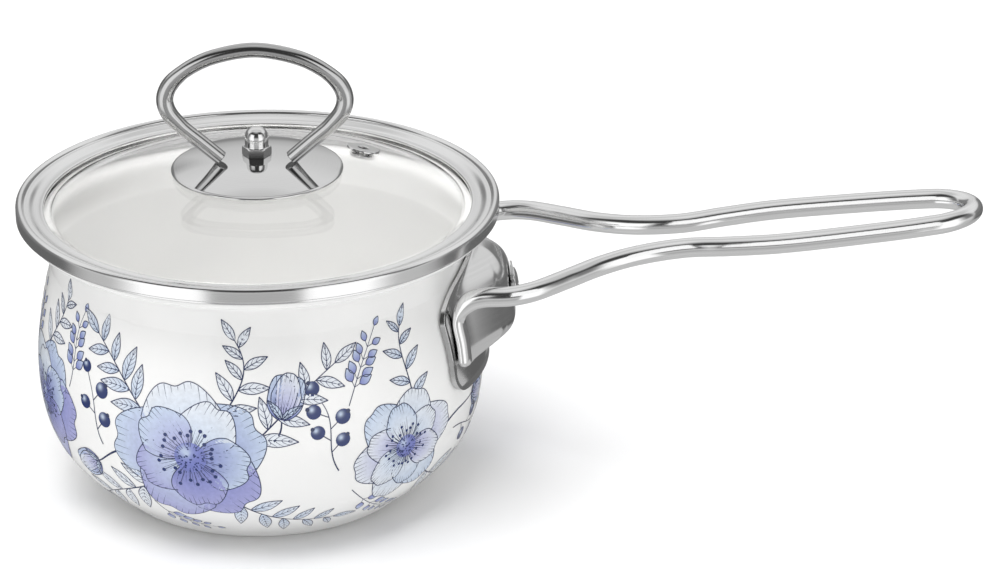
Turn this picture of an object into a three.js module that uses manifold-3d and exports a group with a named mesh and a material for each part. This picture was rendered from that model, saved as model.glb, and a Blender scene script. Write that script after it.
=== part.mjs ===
// Enamelled steel saucepan with a wire loop handle and a banded glass lid.
// Millimetres, +Z up. The origin is the middle of the flat base, the long handle points along +X.
import * as THREE from 'three';
import { mergeVertices } from 'three/addons/utils/BufferGeometryUtils.js';
import Module from 'manifold-3d';

const wasm = await Module();
wasm.setup();

// Gaps between pieces that touch, and between the lid and what it drops over.
const SEAT_GAP = 0.3;
const LID_SLIP = 0.8;
const CHANNEL_SLIP = 1.8;

// Pot. An inset is how far the outside of the enamel lies within the lid band's.
const POT_HEIGHT = 105;
const POT_WALL = 1.2;
const BASE_INSET = 31.6;
const BASE_EDGE = 1.2;
const BASE_FLARE_REACH = 17.6;
const BASE_FLARE_ANGLE = 41.7;
const BELLY_INSET = 5.7;
const BELLY_HEIGHT = 49;
const BELLY_LOWER_PULL = 31;
const BELLY_UPPER_PULL = 16.5;
const NECK_INSET = 11.3;
const NECK_LOW_DROP = 19;
const NECK_LOW_PULL = 2.5;
const NECK_TOP_DROP = 11;
const RIM_STRAIGHT = 3;
const RIM_BEND_PULL = 5.5;

// Steel ring folded over the pot's edge.
const TRIM_WALL = 0.6;
const TRIM_OUTER_DEPTH = 4.3;
const TRIM_INNER_DEPTH = 3.7;
const TRIM_CORNER = 0.5;

// Lid band.
const BAND_RADIUS = 85;
const BAND_WALL = 0.8;
const SKIRT_HEIGHT = 5.2;
const BEAD_RADIUS = 1.4;
const BEAD_RISE = 1;
const FLANGE_WIDTH = 9.8;
const LIP_FALL = 1.1;
const LIP_THICKNESS = 1;
const LIP_ROUND = 0.4;
const LOWER_LIP_WALL = 0.7;
const LOWER_LIP_SETBACK = 0.4;

// Lid glass.
const GLASS_THICKNESS = 3.8;
const GLASS_RISE = 15.25;
const GLASS_LEDGE = 4.5;
const GLASS_HOLE_RADIUS = 3.5;

// Steam vent, a hollow rivet in the glass.
const VENT_X = 36.7;
const VENT_Y = 26.6;
const VENT_FLANGE_RADIUS = 6.1;
const VENT_LOWER_FLANGE_RADIUS = 4.6;
const VENT_TUBE_RADIUS = 3;
const VENT_BORE_RADIUS = 1.8;
const VENT_FLANGE_WALL = 0.7;

// Lid handle, its plate and its fasteners.
const PLATE_RADIUS = 30.2;
const PLATE_WALL = 0.9;
const PLATE_CROWN_GAP = 2.55;
const BOLT_RADIUS = 2.5;
const BOLT_HEAD_RADIUS = 4.6;
const BOLT_HEAD_HEIGHT = 2.2;
const GASKET_RADIUS = 10;
const LOWER_GASKET_WALL = 1;
const LOWER_WASHER_RADIUS = 8;
const LOWER_WASHER_WALL = 1;
const CAP_NUT_FLATS = 9;
const CAP_NUT_HEX = 2.8;
const CAP_NUT_DOME_RADIUS = 4.15;
const CAP_NUT_HEIGHT = 9.7;
const CAP_NUT_CROWN_WALL = 1.8;
const LID_ROD_RADIUS = 2.6;
const LID_ROD_BEND_HALF = 3;
const LID_ROD_BEND_START = 7;
const LID_ROD_BEND_FULL = 1;

// Lid handle loop, which stands beside the nut: half its width, and its height over the plate, from the
// welded foot to the top.
const LID_LOOP_OFFSET = 5;
const LID_LOOP_FOOT = 12.2;
const LID_LOOP_LEG_ANGLE = 42.4;
const LID_LOOP_HEIGHT = 40.5;
const LID_LOOP_PLAN = [
  [26, 12.6],
  [30.2, 17.8],
  [31.3, 22.6],
  [29.8, 27.2],
  [25.6, 31.8],
  [18, 36.5],
  [9.2, 39.3],
];

// Handle bracket, pressed from one sheet.
const BRACKET_WALL = 1.2;
const BRACKET_STANDOFF = 0.4;
const BRACKET_TOP_DROP = 14.3;
const BRACKET_LENGTH = 42.2;
const BRACKET_HALF_WIDTH = 42.6;
const BRACKET_TOP_HALF_WIDTH = 9.3;
const BRACKET_ARCH = 16;
const BRACKET_CORNER = 8;
const BRACKET_FLANGE = 8.4;

// Boss of the bracket. Its front takes a share of its half width, and bows back by a share of its depth.
const BOSS_HALF_WIDTH = 33;
const BOSS_DEPTH = 11.4;
const BOSS_TILT = 8;
const BOSS_FRONT_SHARE = 0.47;
const BOSS_BOW_SHARE = 0.2;
const BOSS_TOP_DROP = 15;
const BOSS_LENGTH = 33.5;
const BOSS_TOP_ROUND = 11;
const BOSS_LOW_ROUND = 8;

// Strap, nut, screw and washer that hold the bracket.
const SCREW_DROP = 33;
const SCREW_RADIUS = 2.5;
const SCREW_HEAD_RADIUS = 5.5;
const SCREW_HEAD_HEIGHT = 1.3;
const WASHER_RADIUS = 8.5;
const WASHER_WALL = 0.6;
const EAR_WALL = 1.5;
const EAR_HEIGHT = 16;
const EAR_HALF_WIDTH = 26;
const EAR_NUT_FLATS = 8;
const EAR_NUT_WALL = 4;
const HOLE_SLACK = 0.4;

// Long handle, one wire. Its plan is a list of points: how far past the welded leg, and how far
// from the middle line.
const WIRE_RADIUS = 3.5;
const LEG_HALF_THICKNESS = 2.1;
const LEG_HALF_WIDTH = 3.2;
const LEG_TOP_SPREAD = 37.6;
const LEG_FOOT_SPREAD = 39.3;
const LEG_LENGTH = 25;
const LEG_BEND = 8;
const ARM_DROP = 21.3;
const ARM_RISE_ANGLE = 5.6;
const HANDLE_REACH = 181.8;
const HANDLE_PLAN = [
  [17.8, 39.4],
  [25.5, 37.3],
  [37.5, 29],
  [49.5, 20.2],
  [62.5, 14.1],
  [79.5, 11.4],
  [94.5, 13.7],
  [111.5, 15.6],
  [139.5, 14.7],
  [162.5, 12.8],
  [172.5, 10.8],
  [179.5, 5.8],
];

// Facets round a large ring, round a small one, round a wire, and along each stretch of a curve.
const LARGE_SIDES = 48;
const PLATE_SIDES = 32;
const SMALL_SIDES = 20;
const WIRE_SIDES = 8;
const CURVE_STEPS = 3;

const ENAMEL = { color: 0xf2f2ef, roughness: 0.12, metalness: 0 };
const POLISHED = { color: 0xc9c9ca, roughness: 0.12, metalness: 1 };
const SATIN = { color: 0xb4b4b5, roughness: 0.3, metalness: 1 };
const GLASS = { color: 0xe9efee, roughness: 0.03, metalness: 0, transparent: true, opacity: 0.3 };
const SOFT = { color: 0xd8d8d4, roughness: 0.7, metalness: 0 };

const pan = new THREE.Group();

function place(parent, name, geometry, finish) {
  const mesh = new THREE.Mesh(geometry, new THREE.MeshStandardMaterial(finish));
  mesh.name = name;
  parent.add(mesh);
}

// Solid of revolution about Z from [radius, height] points, anticlockwise round the material.
function revolve(profile, sides = SMALL_SIDES) {
  const points = profile.map(([r, z]) => new THREE.Vector2(r, z));
  return new THREE.LatheGeometry(points, sides).rotateX(Math.PI / 2);
}

// Ring of rectangular section between two radii and two heights.
function ring(inner, outer, low, high, sides = SMALL_SIDES) {
  return revolve([[inner, low], [outer, low], [outer, high], [inner, high], [inner, low]], sides);
}

// Round bar between two heights, to cut a hole with.
function drill(radius, low, high) {
  return revolve([[0, low], [radius, low], [radius, high], [0, high]]);
}

// Points of a quarter arc, or any arc, as [radius, height] pairs.
function arc(r, z, radius, fromDegrees, toDegrees, steps) {
  return Array.from({ length: steps + 1 }, (_, i) => {
    const angle = THREE.MathUtils.degToRad(fromDegrees + (toDegrees - fromDegrees) * i / steps);
    return [r + radius * Math.cos(angle), z + radius * Math.sin(angle)];
  });
}

// Quarter of an ellipse from a rim at a height to the axis, as [radius, height] pairs.
function dome(radius, rim, rise, steps = 4) {
  const curve = arc(0, 0, 1, 0, 90, steps).map(([c, s]) => [radius * c, rim + rise * s]);
  curve[steps][0] = 0;
  return curve;
}

// Hexagonal prism standing on z = 0, with a round hole through it where holeRadius is given.
function hexPrism(flats, height, holeRadius = 0) {
  const corner = flats / Math.sqrt(3);
  const shape = new THREE.Shape();
  for (let i = 0; i < 6; i += 1) {
    const angle = i * Math.PI / 3;
    shape[i ? 'lineTo' : 'moveTo'](corner * Math.cos(angle), corner * Math.sin(angle));
  }
  shape.closePath();
  if (holeRadius) {
    shape.holes.push(new THREE.Path().absarc(0, 0, holeRadius, 0, 2 * Math.PI, true));
  }
  const settings = { depth: height, bevelEnabled: false, curveSegments: SMALL_SIDES / 2 };
  return new THREE.ExtrudeGeometry(shape, settings);
}

// Closed geometry as a solid that can be joined and cut. Flat triangles at a pole are dropped.
function solid(geometry) {
  const bare = new THREE.BufferGeometry();
  bare.setAttribute('position', geometry.attributes.position);
  bare.setIndex(geometry.index);
  const merged = mergeVertices(bare);
  const index = [];
  for (let i = 0; i < merged.index.count; i += 3) {
    const [a, b, c] = [0, 1, 2].map((k) => merged.index.getX(i + k));
    if (a !== b && b !== c && c !== a) {
      index.push(a, b, c);
    }
  }
  const vertProperties = merged.attributes.position.array;
  return new wasm.Manifold(new wasm.Mesh({ numProp: 3, vertProperties, triVerts: new Uint32Array(index) }));
}

function fromSolid(body) {
  const { vertProperties, triVerts } = body.getMesh();
  const geometry = new THREE.BufferGeometry();
  geometry.setAttribute('position', new THREE.BufferAttribute(vertProperties, 3));
  geometry.setIndex(new THREE.BufferAttribute(triVerts, 1));
  return geometry;
}

// Solid through a list of rings of points, each ring anticlockwise seen from ahead, ends capped.
function loft(rings) {
  const sides = rings[0].length;
  const index = [];
  for (let i = 0; i + 1 < rings.length; i += 1) {
    for (let j = 0; j < sides; j += 1) {
      const [a, b] = [i * sides + j, i * sides + (j + 1) % sides];
      index.push(a, b, b + sides, a, b + sides, a + sides);
    }
  }
  const last = (rings.length - 1) * sides;
  for (let j = 1; j + 1 < sides; j += 1) {
    index.push(0, j + 1, j, last, last + j, last + j + 1);
  }
  const geometry = new THREE.BufferGeometry().setFromPoints(rings.flat());
  geometry.setIndex(index);
  return geometry;
}

// Oval ring about a point, with half sizes along two directions.
function ovalRing(centre, along, across, halfAlong, halfAcross, sides) {
  return Array.from({ length: sides }, (_, j) => {
    const angle = 2 * Math.PI * j / sides;
    return centre.clone()
      .addScaledVector(along, halfAlong * Math.cos(angle))
      .addScaledVector(across, halfAcross * Math.sin(angle));
  });
}

// Pot: a drawn bowl of one wall, out-turned at the rim.
const bandInner = BAND_RADIUS - BAND_WALL;
const trimOuter = bandInner - LID_SLIP;
const rimRadius = trimOuter - TRIM_WALL - SEAT_GAP;
const baseRadius = BAND_RADIUS - BASE_INSET;
const bellyRadius = BAND_RADIUS - BELLY_INSET;
const neckRadius = BAND_RADIUS - NECK_INSET;
const neckLow = POT_HEIGHT - NECK_LOW_DROP;
const neckTop = POT_HEIGHT - NECK_TOP_DROP;
const rimLow = POT_HEIGHT - RIM_STRAIGHT;
const baseFlare = THREE.MathUtils.degToRad(BASE_FLARE_ANGLE);

const potOutline = new THREE.Path();
potOutline.moveTo(baseRadius - BASE_EDGE, 0);
potOutline.lineTo(baseRadius, BASE_EDGE / 2);
potOutline.bezierCurveTo(
  baseRadius + BASE_FLARE_REACH * Math.cos(baseFlare), BASE_FLARE_REACH * Math.sin(baseFlare),
  bellyRadius, BELLY_HEIGHT - BELLY_LOWER_PULL, bellyRadius, BELLY_HEIGHT);
potOutline.bezierCurveTo(
  bellyRadius, BELLY_HEIGHT + BELLY_UPPER_PULL,
  neckRadius, neckLow - NECK_LOW_PULL, neckRadius, neckLow);
potOutline.lineTo(neckRadius, neckTop);
potOutline.bezierCurveTo(
  neckRadius, neckTop + RIM_BEND_PULL, rimRadius, rimLow - RIM_BEND_PULL, rimRadius, rimLow);
potOutline.lineTo(rimRadius, POT_HEIGHT);

// Points moved to the left of their direction of travel, which is into the bowl here.
function offsetInward(points, distance) {
  return points.map((point, i) => {
    const before = points[Math.max(i - 1, 0)];
    const after = points[Math.min(i + 1, points.length - 1)];
    const travel = after.clone().sub(before).normalize();
    return new THREE.Vector2(point.x - travel.y * distance, point.y + travel.x * distance);
  });
}

function outlinePairs(steps) {
  const outer = potOutline.getPoints(steps);
  const inner = offsetInward(outer, POT_WALL);
  inner[0].set(outer[0].x, POT_WALL);
  inner[inner.length - 1].set(rimRadius - POT_WALL, POT_HEIGHT);
  return [...outer, ...inner.reverse()].map((point) => [point.x, point.y]);
}

place(pan, 'pot_body', revolve([[0, 0], ...outlinePairs(6), [0, POT_WALL]], LARGE_SIDES), ENAMEL);

// Outside radius of the pot at a height, read off a fine copy of its outline.
const fineOutline = potOutline.getPoints(60);

function wallRadius(height) {
  const i = Math.max(1, fineOutline.findIndex((point) => point.y >= height));
  const [low, high] = [fineOutline[i - 1], fineOutline[i]];
  const share = high.y > low.y ? (height - low.y) / (high.y - low.y) : 0;
  return THREE.MathUtils.lerp(low.x, high.x, share);
}

// How far along X a surface lies that stands off the wall by a distance, at a Y and a height.
function wallX(y, height, standoff) {
  return Math.sqrt((wallRadius(height) + standoff) ** 2 - y * y);
}

// Trim: a U section over the pot's edge.
const trimTop = POT_HEIGHT + SEAT_GAP + TRIM_WALL;
const trimInner = rimRadius - POT_WALL - SEAT_GAP - TRIM_WALL;
const trimUnder = trimTop - TRIM_WALL;

place(pan, 'pot_rim_trim', revolve([
  [trimOuter, trimTop - TRIM_OUTER_DEPTH],
  ...arc(trimOuter - TRIM_CORNER, trimTop - TRIM_CORNER, TRIM_CORNER, 0, 90, 2),
  ...arc(trimInner + TRIM_CORNER, trimTop - TRIM_CORNER, TRIM_CORNER, 90, 180, 2),
  [trimInner, trimTop - TRIM_INNER_DEPTH],
  [trimInner + TRIM_WALL, trimTop - TRIM_INNER_DEPTH],
  [trimInner + TRIM_WALL, trimUnder],
  [trimOuter - TRIM_WALL, trimUnder],
  [trimOuter - TRIM_WALL, trimTop - TRIM_OUTER_DEPTH],
  [trimOuter, trimTop - TRIM_OUTER_DEPTH],
], LARGE_SIDES), POLISHED);

// Bracket: a sheet that follows the wall, with a bowed boss pressed out of its middle.
const bracketTop = POT_HEIGHT - BRACKET_TOP_DROP;
const bracketLow = bracketTop - BRACKET_LENGTH;
const bossTop = POT_HEIGHT - BOSS_TOP_DROP;
const bossLow = bossTop - BOSS_LENGTH;
const screwHeight = POT_HEIGHT - SCREW_DROP;

// Plan of the boss by the share of its half width: a bowed front between two straight, slanted sides.
function bossPlan(share) {
  const front = 1 - BOSS_BOW_SHARE * (share / BOSS_FRONT_SHARE) ** 2;
  const side = (1 - BOSS_BOW_SHARE) * (1 - share) / (1 - BOSS_FRONT_SHARE);
  return Math.min(front, side);
}

// Side view of the boss: 1 along its front, rounded down to 0 at its two ends.
function bossSide(height, inset) {
  const above = (height - (bossTop - BOSS_TOP_ROUND)) / (BOSS_TOP_ROUND - inset);
  const below = (bossLow + BOSS_LOW_ROUND - height) / (BOSS_LOW_ROUND - inset);
  return Math.sqrt(1 - Math.min(1, Math.max(0, above, below)) ** 2);
}

// Half the plate's width: an arch of part of an ellipse, upright sides and round lower corners.
function bracketHalfWidth(height) {
  const inArch = Math.max(0, height - (bracketTop - BRACKET_ARCH)) / BRACKET_ARCH;
  const archCut = 1 - (BRACKET_TOP_HALF_WIDTH / BRACKET_HALF_WIDTH) ** 2;
  const inCorner = Math.max(0, bracketLow + BRACKET_CORNER - height);
  const corner = BRACKET_CORNER - Math.sqrt(BRACKET_CORNER ** 2 - inCorner ** 2);
  return BRACKET_HALF_WIDTH * Math.sqrt(1 - archCut * inArch ** 2) - corner;
}

const frontShares = [0, 0.35, 0.7, 1];
const sideShares = [0.33, 0.67, 1];
const wingShares = [0.5, 1];
const bracketHeights = [
  bracketLow,
  bracketLow + BRACKET_CORNER / 4,
  ...arc(0, bossLow + BOSS_LOW_ROUND, BOSS_LOW_ROUND, -90, 0, 5).map(([, z]) => z),
  screwHeight,
  ...arc(0, bossTop - BOSS_TOP_ROUND, BOSS_TOP_ROUND, 0, 90, 6).map(([, z]) => z),
  bracketTop,
];
const bossReach = BRACKET_STANDOFF + BRACKET_WALL + BOSS_DEPTH;
const screwTilt = THREE.MathUtils.degToRad(BOSS_TILT);

// How far the boss stands out of the plate at a height, at its middle: its front is a leaning plane.
function bossDepth(height) {
  const front = wallRadius(screwHeight) + bossReach + (screwHeight - height) * Math.tan(screwTilt);
  return front - wallRadius(height) - BRACKET_STANDOFF - BRACKET_WALL;
}

// One face of the bracket as rows of points. The back is inset by the sheet so that it stays even.
function bracketFace(inset) {
  const back = inset > 0;
  const standoff = BRACKET_STANDOFF + (back ? 0 : BRACKET_WALL);
  return bracketHeights.map((z) => {
    const edge = bracketHalfWidth(z);
    const foot = Math.min(BOSS_HALF_WIDTH, edge - BRACKET_FLANGE) - inset / 2;
    const corner = BOSS_FRONT_SHARE * foot;
    const half = [
      ...frontShares.map((share) => share * corner),
      ...sideShares.map((share) => THREE.MathUtils.lerp(corner, foot, share)),
      ...wingShares.map((share) => THREE.MathUtils.lerp(foot, edge, share)),
    ];
    const columns = [...half.slice(1).reverse().map((y) => -y), ...half];
    return columns.map((y) => {
      const plan = Math.max(0, bossPlan(Math.abs(y) / foot));
      return new THREE.Vector3(wallX(y, z, standoff) + bossDepth(z) * plan * bossSide(z, inset), y, z);
    });
  });
}

// Sheet between two faces of equal rows and columns.
function sheet(front, back) {
  const [rows, columns] = [front.length, front[0].length];
  const points = [...front.flat(), ...back.flat()];
  const layer = rows * columns;
  const index = [];
  const quad = (a, b, c, d) => index.push(a, b, c, a, c, d);
  for (let i = 0; i + 1 < rows; i += 1) {
    for (let j = 0; j + 1 < columns; j += 1) {
      const a = i * columns + j;
      quad(a, a + 1, a + columns + 1, a + columns);
      quad(layer + a, layer + a + columns, layer + a + columns + 1, layer + a + 1);
    }
  }
  for (let i = 0; i + 1 < rows; i += 1) {
    const [a, b] = [i * columns, i * columns + columns - 1];
    quad(a, a + columns, layer + a + columns, layer + a);
    quad(b, layer + b, layer + b + columns, b + columns);
  }
  for (let j = 0; j + 1 < columns; j += 1) {
    const top = (rows - 1) * columns + j;
    quad(j, layer + j, layer + j + 1, j + 1);
    quad(top, top + 1, layer + top + 1, layer + top);
  }
  const geometry = new THREE.BufferGeometry().setFromPoints(points);
  geometry.setIndex(index);
  return geometry;
}

// Frame of the screw: its own Z points out, square to the boss's front.
const screwFrame = new THREE.Group();
screwFrame.position.set(wallRadius(screwHeight), 0, screwHeight);
screwFrame.rotation.y = Math.PI / 2 - screwTilt;
screwFrame.updateMatrix();
pan.add(screwFrame);

const screwHole = SCREW_RADIUS + HOLE_SLACK;
const screwDrill = drill(screwHole, 0, 2 * bossReach).applyMatrix4(screwFrame.matrix);

const bracketSheet = solid(sheet(bracketFace(0), bracketFace(BRACKET_WALL)));
place(pan, 'handle_bracket', fromSolid(bracketSheet.subtract(solid(screwDrill))), POLISHED);

// Strap behind the boss: a smaller copy of its plan, with feet that run on and are cut to the wall.
const earDepth = (BRACKET_STANDOFF + BOSS_DEPTH) * Math.cos(screwTilt) - 2 * SEAT_GAP;
const earShares = [-1.2, -0.8, -BOSS_FRONT_SHARE, -0.25, 0, 0.25, BOSS_FRONT_SHARE, 0.8, 1.2];

// How far out one line of the strap lies at a Y, over the round wall that falls away there.
function earOut(y, half, depth) {
  const wallSag = wallRadius(screwHeight) - wallX(y, screwHeight, 0);
  return depth * bossPlan(Math.abs(y) / half) - wallSag;
}

function earLine(half, depth) {
  return earShares.map((share) => new THREE.Vector2(-earOut(share * half, half, depth), share * half));
}

const earInnerHalf = EAR_HALF_WIDTH - EAR_WALL;
const earInnerDepth = earDepth - EAR_WALL;
const earBend = new THREE.Shape([
  ...earLine(EAR_HALF_WIDTH, earDepth),
  ...earLine(earInnerHalf, earInnerDepth).reverse(),
]);
const earStrap = new THREE.ExtrudeGeometry(earBend, { depth: EAR_HEIGHT, bevelEnabled: false });
earStrap.translate(0, 0, -EAR_HEIGHT / 2).rotateY(Math.PI / 2).applyMatrix4(screwFrame.matrix);
const wallHeights = [-1, -0.5, 0, 0.5, 1].map((share) => screwHeight + share * EAR_HEIGHT);
const wallTool = revolve([
  [0, screwHeight - EAR_HEIGHT],
  ...wallHeights.map((z) => [wallRadius(z) + SEAT_GAP, z]),
  [0, screwHeight + EAR_HEIGHT],
], LARGE_SIDES);
const earCut = solid(earStrap).subtract(solid(wallTool)).subtract(solid(screwDrill));
place(pan, 'mounting_ear', fromSolid(earCut), SATIN);

// Nut, washer and screw on the frame's Z.
const earUnder = earOut(EAR_NUT_FLATS / Math.sqrt(3), earInnerHalf, earInnerDepth);
const nutFace = earUnder - SEAT_GAP;
const nutBore = SCREW_RADIUS + SEAT_GAP;
const earNut = hexPrism(EAR_NUT_FLATS, EAR_NUT_WALL, nutBore).translate(0, 0, nutFace - EAR_NUT_WALL);
place(screwFrame, 'ear_nut', earNut, SATIN);

const washerLow = bossReach * Math.cos(screwTilt) + SEAT_GAP;
const washerTop = washerLow + WASHER_WALL;
place(screwFrame, 'bracket_washer', ring(screwHole, WASHER_RADIUS, washerLow, washerTop), POLISHED);

const headLow = washerTop + SEAT_GAP;
const screwEnd = nutFace - EAR_NUT_WALL;
place(screwFrame, 'bracket_screw', revolve([
  [0, screwEnd],
  [SCREW_RADIUS, screwEnd],
  [SCREW_RADIUS, headLow],
  ...dome(SCREW_HEAD_RADIUS, headLow, SCREW_HEAD_HEIGHT),
]), POLISHED);

// Long handle: up a leg on the bracket, round a bend, out along one arm to the tip, and mirrored back.
const legStandoff = BRACKET_STANDOFF + BRACKET_WALL + SEAT_GAP + LEG_HALF_THICKNESS;
const armHeight = POT_HEIGHT - ARM_DROP;
const armRise = Math.tan(THREE.MathUtils.degToRad(ARM_RISE_ANGLE));
const legTop = armHeight - LEG_BEND;
const legLow = armHeight - LEG_LENGTH;
const legX = wallX(LEG_TOP_SPREAD, legTop, legStandoff);
const armZ = (along) => armHeight + along * armRise;

const legPoints = [0, 0.5].map((share) => {
  const z = THREE.MathUtils.lerp(legLow, legTop, share);
  const y = THREE.MathUtils.lerp(LEG_FOOT_SPREAD, LEG_TOP_SPREAD, share);
  return new THREE.Vector3(wallX(y, z, legStandoff), y, z);
});
const armSpread = HANDLE_PLAN[0][1];
const bendPoints = arc(LEG_BEND, legTop, LEG_BEND, 180, 90, 3).map(([along, z]) => {
  const y = THREE.MathUtils.lerp(LEG_TOP_SPREAD, armSpread, along / HANDLE_PLAN[0][0]);
  return new THREE.Vector3(legX + along, y, z + along * armRise);
});
const armPoints = HANDLE_PLAN.map(([along, half]) => new THREE.Vector3(legX + along, half, armZ(along)));
const tipPoint = new THREE.Vector3(legX + HANDLE_REACH, 0, armZ(HANDLE_REACH));
const mirrored = (point) => new THREE.Vector3(point.x, -point.y, point.z);
const halfRoute = [...legPoints, ...bendPoints, ...armPoints];
const wireRoute = new THREE.CatmullRomCurve3(
  [...halfRoute, tipPoint, ...halfRoute.map(mirrored).reverse()], false, 'centripetal');

// Half the wire's rings, from the leg to the tip. The section eases from the pressed leg to the round
// wire through the bend, and its wide side turns from along the wall to level.
const legSide = new THREE.Vector3(-LEG_TOP_SPREAD, wallRadius(legTop), 0).normalize();
const halfSteps = halfRoute.length * CURVE_STEPS;
const halfRings = Array.from({ length: halfSteps + 1 }, (_, i) => {
  const share = i / (2 * halfSteps);
  const centre = wireRoute.getPoint(share);
  const travel = wireRoute.getTangent(share);
  const round = THREE.MathUtils.smoothstep(centre.z, legTop, armHeight);
  const level = new THREE.Vector3(-travel.y, travel.x, 0).normalize();
  const across = legSide.clone().lerp(level, round);
  across.addScaledVector(travel, -across.dot(travel)).normalize();
  const along = across.clone().cross(travel);
  const halfThickness = THREE.MathUtils.lerp(LEG_HALF_THICKNESS, WIRE_RADIUS, round);
  const halfWidth = THREE.MathUtils.lerp(LEG_HALF_WIDTH, WIRE_RADIUS, round);
  return ovalRing(centre, along, across, halfThickness, halfWidth, WIRE_SIDES);
});
const farRings = halfRings.slice(0, -1).reverse().map((points) => points.map(mirrored));
place(pan, 'long_handle', loft([...halfRings, ...farRings]), SATIN);

// Lid band: one rolled section. The flange's underside rests on the trim, its lip falls to the glass.
const lid = new THREE.Group();
pan.add(lid);

const flangeUnder = trimTop + SEAT_GAP;
const flangeTop = flangeUnder + BAND_WALL;
const bandTop = flangeTop + BEAD_RISE;
const skirtLow = bandTop - SKIRT_HEIGHT;
const lipRadius = BAND_RADIUS - FLANGE_WIDTH;
const lipTop = flangeTop - LIP_FALL;
const lipUnder = lipTop - LIP_THICKNESS;
const channelOuter = trimInner - CHANNEL_SLIP;
const channelInner = channelOuter - BAND_WALL;
const glassRimTop = lipUnder - SEAT_GAP;
const channelFloor = glassRimTop - GLASS_THICKNESS - SEAT_GAP;
const lowerLipRadius = lipRadius + LOWER_LIP_SETBACK;

place(lid, 'lid_band', revolve([
  [BAND_RADIUS, skirtLow],
  ...arc(BAND_RADIUS - BEAD_RADIUS, bandTop - BEAD_RADIUS, BEAD_RADIUS, 0, 135, 4),
  [BAND_RADIUS - 2 * BEAD_RADIUS, flangeTop],
  [channelOuter + BAND_WALL, flangeTop],
  [lipRadius + LIP_ROUND, lipTop],
  [lipRadius, lipTop - LIP_ROUND],
  [lipRadius, lipUnder],
  [channelInner, lipUnder],
  [channelInner, channelFloor],
  [lowerLipRadius, channelFloor],
  [lowerLipRadius, channelFloor - LOWER_LIP_WALL],
  [channelOuter, channelFloor - LOWER_LIP_WALL],
  [channelOuter, flangeUnder],
  [bandInner, flangeUnder],
  [bandInner, skirtLow],
  [BAND_RADIUS, skirtLow],
], LARGE_SIDES), SATIN);

// Lid glass: a shallow dome with a flat ledge held in the band.
const glassRadius = channelInner - SEAT_GAP;
const domeRadius = glassRadius - GLASS_LEDGE;
const domeSphere = (domeRadius ** 2 + GLASS_RISE ** 2) / (2 * GLASS_RISE);
const glassCrown = glassRimTop + GLASS_RISE;
const glassTop = (r) => glassCrown - domeSphere + Math.sqrt(domeSphere ** 2 - r * r);

const domeLine = Array.from({ length: 7 }, (_, i) => {
  const r = THREE.MathUtils.lerp(domeRadius, GLASS_HOLE_RADIUS, i / 6);
  return [r, glassTop(r)];
});
const glassBlank = revolve([
  [glassRadius, glassRimTop - GLASS_THICKNESS],
  [glassRadius, glassRimTop],
  ...domeLine,
  ...domeLine.map(([r, z]) => [r, z - GLASS_THICKNESS]).reverse(),
  [glassRadius, glassRimTop - GLASS_THICKNESS],
], LARGE_SIDES);

// Vent frame: on the dome, its Z along the glass's normal there.
const ventReach = Math.hypot(VENT_X, VENT_Y);
const ventFrame = new THREE.Group();
ventFrame.position.set(VENT_X, VENT_Y, glassTop(ventReach));
ventFrame.rotation.set(0, Math.asin(ventReach / domeSphere), Math.atan2(VENT_Y, VENT_X), 'ZYX');
ventFrame.updateMatrix();
lid.add(ventFrame);

const ventHole = VENT_TUBE_RADIUS + SEAT_GAP;
const ventDrill = drill(ventHole, -2 * GLASS_THICKNESS, GLASS_THICKNESS).applyMatrix4(ventFrame.matrix);
place(lid, 'lid_glass', fromSolid(solid(glassBlank).subtract(solid(ventDrill))), GLASS);

const ventSeat = SEAT_GAP;
const ventUnder = -GLASS_THICKNESS - SEAT_GAP;
place(ventFrame, 'vent_eyelet', revolve([
  [VENT_TUBE_RADIUS, ventUnder],
  [VENT_TUBE_RADIUS, ventSeat],
  [VENT_FLANGE_RADIUS, ventSeat],
  [VENT_FLANGE_RADIUS - VENT_FLANGE_WALL / 2, ventSeat + VENT_FLANGE_WALL],
  [VENT_BORE_RADIUS, ventSeat + VENT_FLANGE_WALL],
  [VENT_BORE_RADIUS, ventUnder - VENT_FLANGE_WALL],
  [VENT_LOWER_FLANGE_RADIUS, ventUnder - VENT_FLANGE_WALL],
  [VENT_LOWER_FLANGE_RADIUS, ventUnder],
  [VENT_TUBE_RADIUS, ventUnder],
]), POLISHED);

// Handle plate: a shallow dished disc whose edge rests on the glass.
const boltHole = BOLT_RADIUS + HOLE_SLACK;
const plateUnderEdge = glassTop(PLATE_RADIUS) + SEAT_GAP;
const plateUnderCrown = glassCrown + PLATE_CROWN_GAP;
const plateUnder = (r) => plateUnderCrown - (plateUnderCrown - plateUnderEdge) * (r / PLATE_RADIUS) ** 2;
const plateLine = Array.from({ length: 6 }, (_, i) => {
  const r = THREE.MathUtils.lerp(PLATE_RADIUS, boltHole, i / 5);
  return [r, plateUnder(r) + PLATE_WALL];
});
const plateTop = plateUnderCrown + PLATE_WALL;

place(lid, 'lid_handle_plate', revolve([
  ...plateLine,
  ...plateLine.map(([r, z]) => [r, z - PLATE_WALL]).reverse(),
  plateLine[0],
], PLATE_SIDES), POLISHED);

// Gaskets and washer on the bolt, above and below the glass.
place(lid, 'upper_gasket', revolve([
  [boltHole, glassTop(boltHole) + SEAT_GAP],
  [GASKET_RADIUS, glassTop(GASKET_RADIUS) + SEAT_GAP],
  [GASKET_RADIUS, plateUnder(GASKET_RADIUS) - SEAT_GAP],
  [boltHole, plateUnder(boltHole) - SEAT_GAP],
  [boltHole, glassTop(boltHole) + SEAT_GAP],
]), SOFT);

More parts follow.
